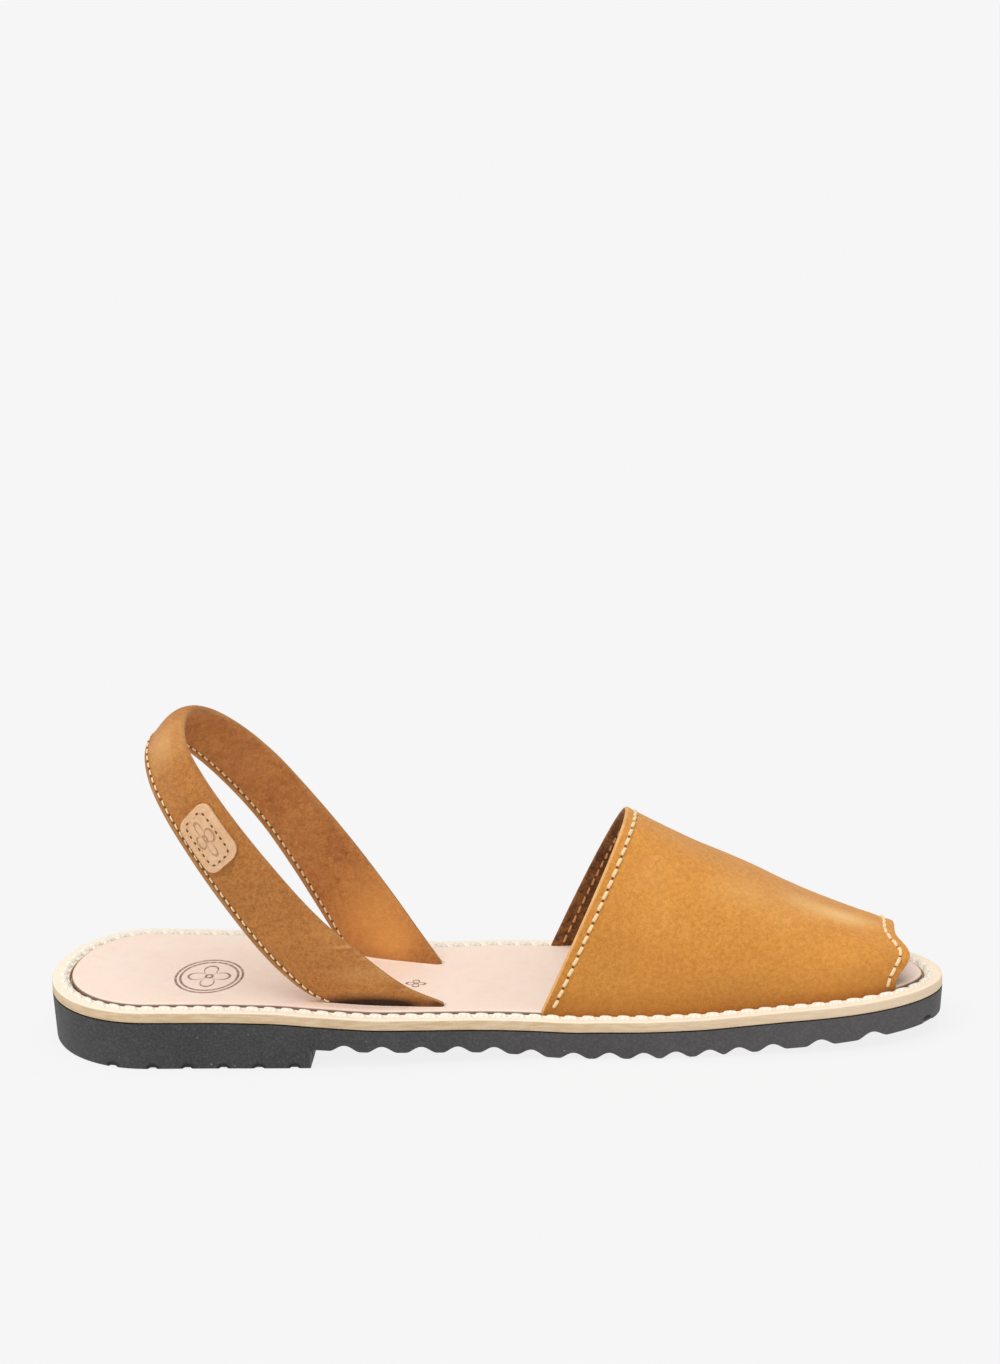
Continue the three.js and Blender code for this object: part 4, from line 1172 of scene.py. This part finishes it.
def tag_shares(turn, b):
    """The rounded rectangle: near its ends each side is cut by corner - sqrt(corner^2 - distance^2)."""
    a = (1 - np.cos(np.pi * turn)) / 2
    into = np.maximum(TAG_CORNER - np.minimum(a, 1 - a) * tag_long, 0)
    cut = (TAG_CORNER - np.sqrt(np.maximum(TAG_CORNER**2 - into**2, 0))) / tag_wide
    return mix(TAG_FROM, TAG_TO, a), mix(TAG_REAR, TAG_FORE, mix(cut, 1 - cut, b))


def tag_point(turn, b):
    along, across = tag_shares(turn, b)
    return strap_face(along, across, SEAM + TAG_WALL / 2)


grid, _, shares = shell(tag_point, np.linspace(0, 1, 60), np.linspace(0, 1, 30), TAG_WALL)
tag_piece = add_piece("tag_leather_patch", grid, quads_of(*grid.shape[:2], wrap_rows=True), [tag_leather],
                      uv=shares, sharp=70)
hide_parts("strap_tag")

# %% [markdown]
# ## Seams
#
# A stitch is a short length of thread that comes out of one hole and goes into the next. All stitches of a
# seam are made at once: a small tube is bent in an arc over the leather, with its ends drawn to a point
# under the surface, and copied along the path at the machine's pitch. Lengths are in millimetres, share is
# the thread's share of the pitch, and slant is how far each stitch leans to the side at its two ends.

# %% Stitches along a path


def stitches(name, path, normals, pitch, share, radius, sink, slant=0, finish=thread, rings=9, sides=8,
             hole=0.8):
    """Stitch k covers s = (k + 1/2 + t share / 2) * pitch for t in -1..1. Its middle line is at height
    sink * (1 - t^4) - radius over the path and its radius is radius * sqrt(1 - t^8). Between two stitches
    lies a flat dark lens of painted shade in the needle hole, hole * radius wide and a third as thick."""
    steps = np.linalg.norm(np.diff(path, axis=0), axis=1)
    length = np.concatenate([[0], np.cumsum(steps)])
    count = max(int(round(length[-1] / pitch)), 1)
    pitch = length[-1] / count

    def tubes(s, height, side_step, thick, squash):
        """Closed tubes: s has a row of places on the path for each tube, the rest a value for each ring."""
        at = lambda values: np.stack([np.interp(s, length, values[:, k]) for k in range(3)], -1)
        middle, up = at(path), unit(at(normals))
        side = np.cross(unit(np.gradient(middle, axis=1)), up)
        middle = middle + up * height[None, :, None] + side * side_step[None, :, None]
        around = np.linspace(0, 2 * np.pi, sides, endpoint=False)
        ring = (up[:, :, None] * squash * np.cos(around)[None, None, :, None]
                + side[:, :, None] * np.sin(around)[None, None, :, None])
        return middle[:, :, None] + ring * thick[None, :, None, None], around

    t = np.sin(np.linspace(-np.pi / 2, np.pi / 2, rings))
    s = (np.arange(count)[:, None] + 0.5 + t * share / 2) * pitch
    thick = radius * np.sqrt(np.maximum(1 - t**8, 0))
    points, around = tubes(s, sink * (1 - t**4) - radius, slant * t, thick, 1.0)
    one = quads_of(rings, sides, wrap_cols=True)
    copies = lambda number: (one + (np.arange(number) * rings * sides)[:, None, None]).reshape(-1, 4)
    faces = copies(count)
    uv = np.stack(np.meshgrid((t + 1) / 2, around / (2 * np.pi), indexing="ij"), -1)
    uv = np.broadcast_to(uv, (count, rings, sides, 2))
    slots = np.zeros(len(faces))
    if hole:
        reach = (1 - share) * pitch / 2 + 0.5 * radius
        s = np.arange(1, count)[:, None] * pitch + t * reach
        lenses, _ = tubes(s, 0 * t, 0 * t, hole * radius * np.sqrt(np.maximum(1 - t**2, 0)), 0.3)
        points, uv = np.concatenate([points, lenses]), np.concatenate([uv, uv[1:]])
        slots = np.repeat([0, 1], [len(faces), (count - 1) * len(one)])
        faces = copies(2 * count - 1)
    piece = add_piece(name, points, faces, [finish, needle_hole_shade], uv=uv, face_slots=slots, sharp=80)


# %% Thick seam round the welt
UP = (0.0, 0.0, 1.0)
flat = loop(CHANNEL_AT, 500)
flat = np.concatenate([flat, flat[:1]])
path = np.column_stack([flat, rim_top(flat[:, 0]) - CHANNEL_DEPTH])
stitches("welt_seam", path, np.tile(UP, (len(path), 1)), 5.05, 1.0, 1.08, 1.15, slant=0.4,
         finish=welt_thread, rings=11, sides=10, hole=0)

# %% Seams of the vamp
REACH, SMOOTHING = 0.15, 12  # the share searched for a seam, and how many neighbours even it out on each side
tries = np.linspace(0, REACH, 61)
overs = np.linspace(FOOT + 0.004, 1 - FOOT - 0.004, 500)


def along_at(table, distance, from_toe):
    """The share along at which each of the overs first passes the distance from the table's edge."""
    alongs = 1 - tries if from_toe else tries
    rows = from_table(table, *np.meshgrid(alongs, overs))
    shares = np.array([np.interp(distance, row, tries) for row in rows])
    window = 2 * SMOOTHING + 1
    shares = np.convolve(np.pad(shares, SMOOTHING, mode="edge"), np.ones(window) / window, mode="valid")
    return 1 - shares if from_toe else shares


def vamp_seam(name, table, from_toe, distance, face, pitch, share, radius, slant, finish):
    """A seam on the outer (face 1) or inner (-1) side of the vamp, at a distance from the table's edge."""
    alongs = along_at(table, distance, from_toe)
    _, _, n = slopes_of(vamp_point, alongs, overs)
    height = VAMP_WALL / 2 - 0.2 if face > 0 else VAMP_WALL / 2 - VAMP_LEATHER
    path = vamp_point(alongs, overs) - n * height
    stitches(name, path, -n * face, pitch, share, radius, radius * 1.45, slant=slant, finish=finish)


vamp_seam("collar_seam", collar_table, False, COLLAR_SEAM, 1, 3.5, 0.88, 0.5, 0.16, thread)
vamp_seam("collar_seam_inside", collar_table, False, COLLAR_SEAM, -1, 3.5, 0.8, 0.36, -0.1, inner_thread)
vamp_seam("toe_seam", toe_table, True, TOE_SEAM, 1, 3.4, 0.98, 0.5, 0.08, thread)
vamp_seam("toe_seam_inside", toe_table, True, TOE_SEAM, -1, 3.4, 0.8, 0.34, -0.1, inner_thread)

# %% Seams of the strap, along its lower edge on both faces
STRAP_SEAM = 1.9
alongs = np.linspace(LEG + 0.004, 1 - LEG - 0.004, 900)
across = STRAP_SEAM / strap_width(alongs)
_, _, n = slopes_of(strap_point, alongs, across)
for face, name in ((1, "strap_seam"), (-1, "strap_seam_inside")):
    path = strap_point(alongs, across) + n * face * (STRAP_WALL / 2)
    stitches(name, path, n * face, 2.6, 0.74, 0.27, 0.4, slant=0.08, hole=1.1)

# %% Seam of the tag, a little inside its edge
TAG_SEAM, SQUARED = 1.7, 0.32


def squared_circle(wave, size):
    """sign(w) |w|^0.32 * half the size inside the seam, as a share of the size, which rounds a square."""
    return np.sign(wave) * np.abs(wave) ** SQUARED * (size / 2 - TAG_SEAM) / size


theta = np.linspace(0, 2 * np.pi, 400)
ring_along = mix(TAG_FROM, TAG_TO, 0.5 + squared_circle(np.cos(theta), tag_long))
ring_across = mix(TAG_REAR, TAG_FORE, 0.5 + squared_circle(np.sin(theta), tag_wide))
_, _, n = slopes_of(strap_point, ring_along, ring_across)
path = strap_face(ring_along, ring_across, SEAM + TAG_WALL)
stitches("tag_seam", path, n, 2.1, 0.62, 0.26, 0.34, finish=tag_thread, hole=1.2)

# %% [markdown]
# ## Floor, light and camera
#
# A plain pale floor, one very large soft light overhead and pale surroundings give the even light of a
# catalogue picture. The camera looks from the inner side of the foot, 19.5 degrees over the floor and
# 4.5 degrees towards the toe, and is rolled a little, as in the photograph.

# %% Floor and light
floor_mesh = bpy.data.meshes.new("floor")
REACHES = 30  # metres from the middle to each side, so that the floor's edge is never seen
floor_corners = [(x * REACHES, y * REACHES, 0) for x, y in ((-1, -1), (1, -1), (1, 1), (-1, 1))]
floor_mesh.from_pydata(floor_corners, [], [(0, 1, 2, 3)])
floor = bpy.data.objects.new("floor", floor_mesh)
bpy.context.scene.collection.objects.link(floor)
pale = material("pale_floor", 0.9, Base_Color=(0.08, 0.08, 0.08, 1), Specular_IOR_Level=0.0,
                Emission_Color=(1, 1, 1, 1), Emission_Strength=0.838)
floor_mesh.materials.append(pale)

world = bpy.data.worlds.new("studio")
bpy.context.scene.world = world
world.use_nodes = True
sky = world.node_tree.nodes["Background"].inputs
sky["Color"].default_value, sky["Strength"].default_value = (1, 1, 1, 1), 0.5


def soft_sun(name, towards, width, strength):
    """A distant lamp as wide as a soft box: its angle sets how soft the shadows are."""
    lamp = bpy.data.lights.new(name, "SUN")
    lamp.angle, lamp.energy = np.radians(width), strength
    holder = bpy.data.objects.new(name, lamp)
    holder.matrix_world = Vector(towards).to_track_quat("-Z", "Y").to_matrix().to_4x4()
    bpy.context.scene.collection.objects.link(holder)


soft_sun("soft_box", (0.2, 0.3, -1.0), 60, 1.85)
bpy.context.scene.view_settings.view_transform = "Standard"

# %% Camera
AZIMUTH, ELEVATION, ROLL = np.radians([4.5, 19.5, 2.16])
FOCAL_PX, FAR, SENSOR = 4459, 1.3, 36
PHOTO_WIDTH, PHOTO_HEIGHT = 1000, 1364
TARGET, TARGET_PX = (np.array([129.0, 5.0, 30.0]) - SHIFT) / 1000, (492.4, 919.1)
right = np.array([np.cos(AZIMUTH), np.sin(AZIMUTH), 0])
towards = np.array([np.sin(AZIMUTH), -np.cos(AZIMUTH), 0])
back = towards * np.cos(ELEVATION) + np.array(UP) * np.sin(ELEVATION)
up = np.cross(back, right)
axis_x = right * np.cos(ROLL) - up * np.sin(ROLL)
axis_y = right * np.sin(ROLL) + up * np.cos(ROLL)
# The target shows left of the middle and under it, so the camera looks past it, up and to the right.
aim = (axis_x * (PHOTO_WIDTH / 2 - TARGET_PX[0]) + axis_y * (TARGET_PX[1] - PHOTO_HEIGHT / 2)
       - back * FOCAL_PX)
cam_z = -unit(aim)
cam_x = unit(axis_x - cam_z * (axis_x @ cam_z))
cam_y = np.cross(cam_z, cam_x)
place = TARGET + back * FAR
camera = bpy.data.objects.new("camera", bpy.data.cameras.new("camera"))
camera.matrix_world = Matrix([*np.column_stack([cam_x, cam_y, cam_z, place]).tolist(), (0, 0, 0, 1)])
camera.data.lens = FOCAL_PX * SENSOR / PHOTO_HEIGHT
camera.data.sensor_width = SENSOR
camera.data.clip_start, camera.data.clip_end = 0.05, 100
bpy.context.scene.collection.objects.link(camera)
bpy.context.scene.camera = camera
print("camera lens", round(camera.data.lens, 1), "mm at", place.round(3))
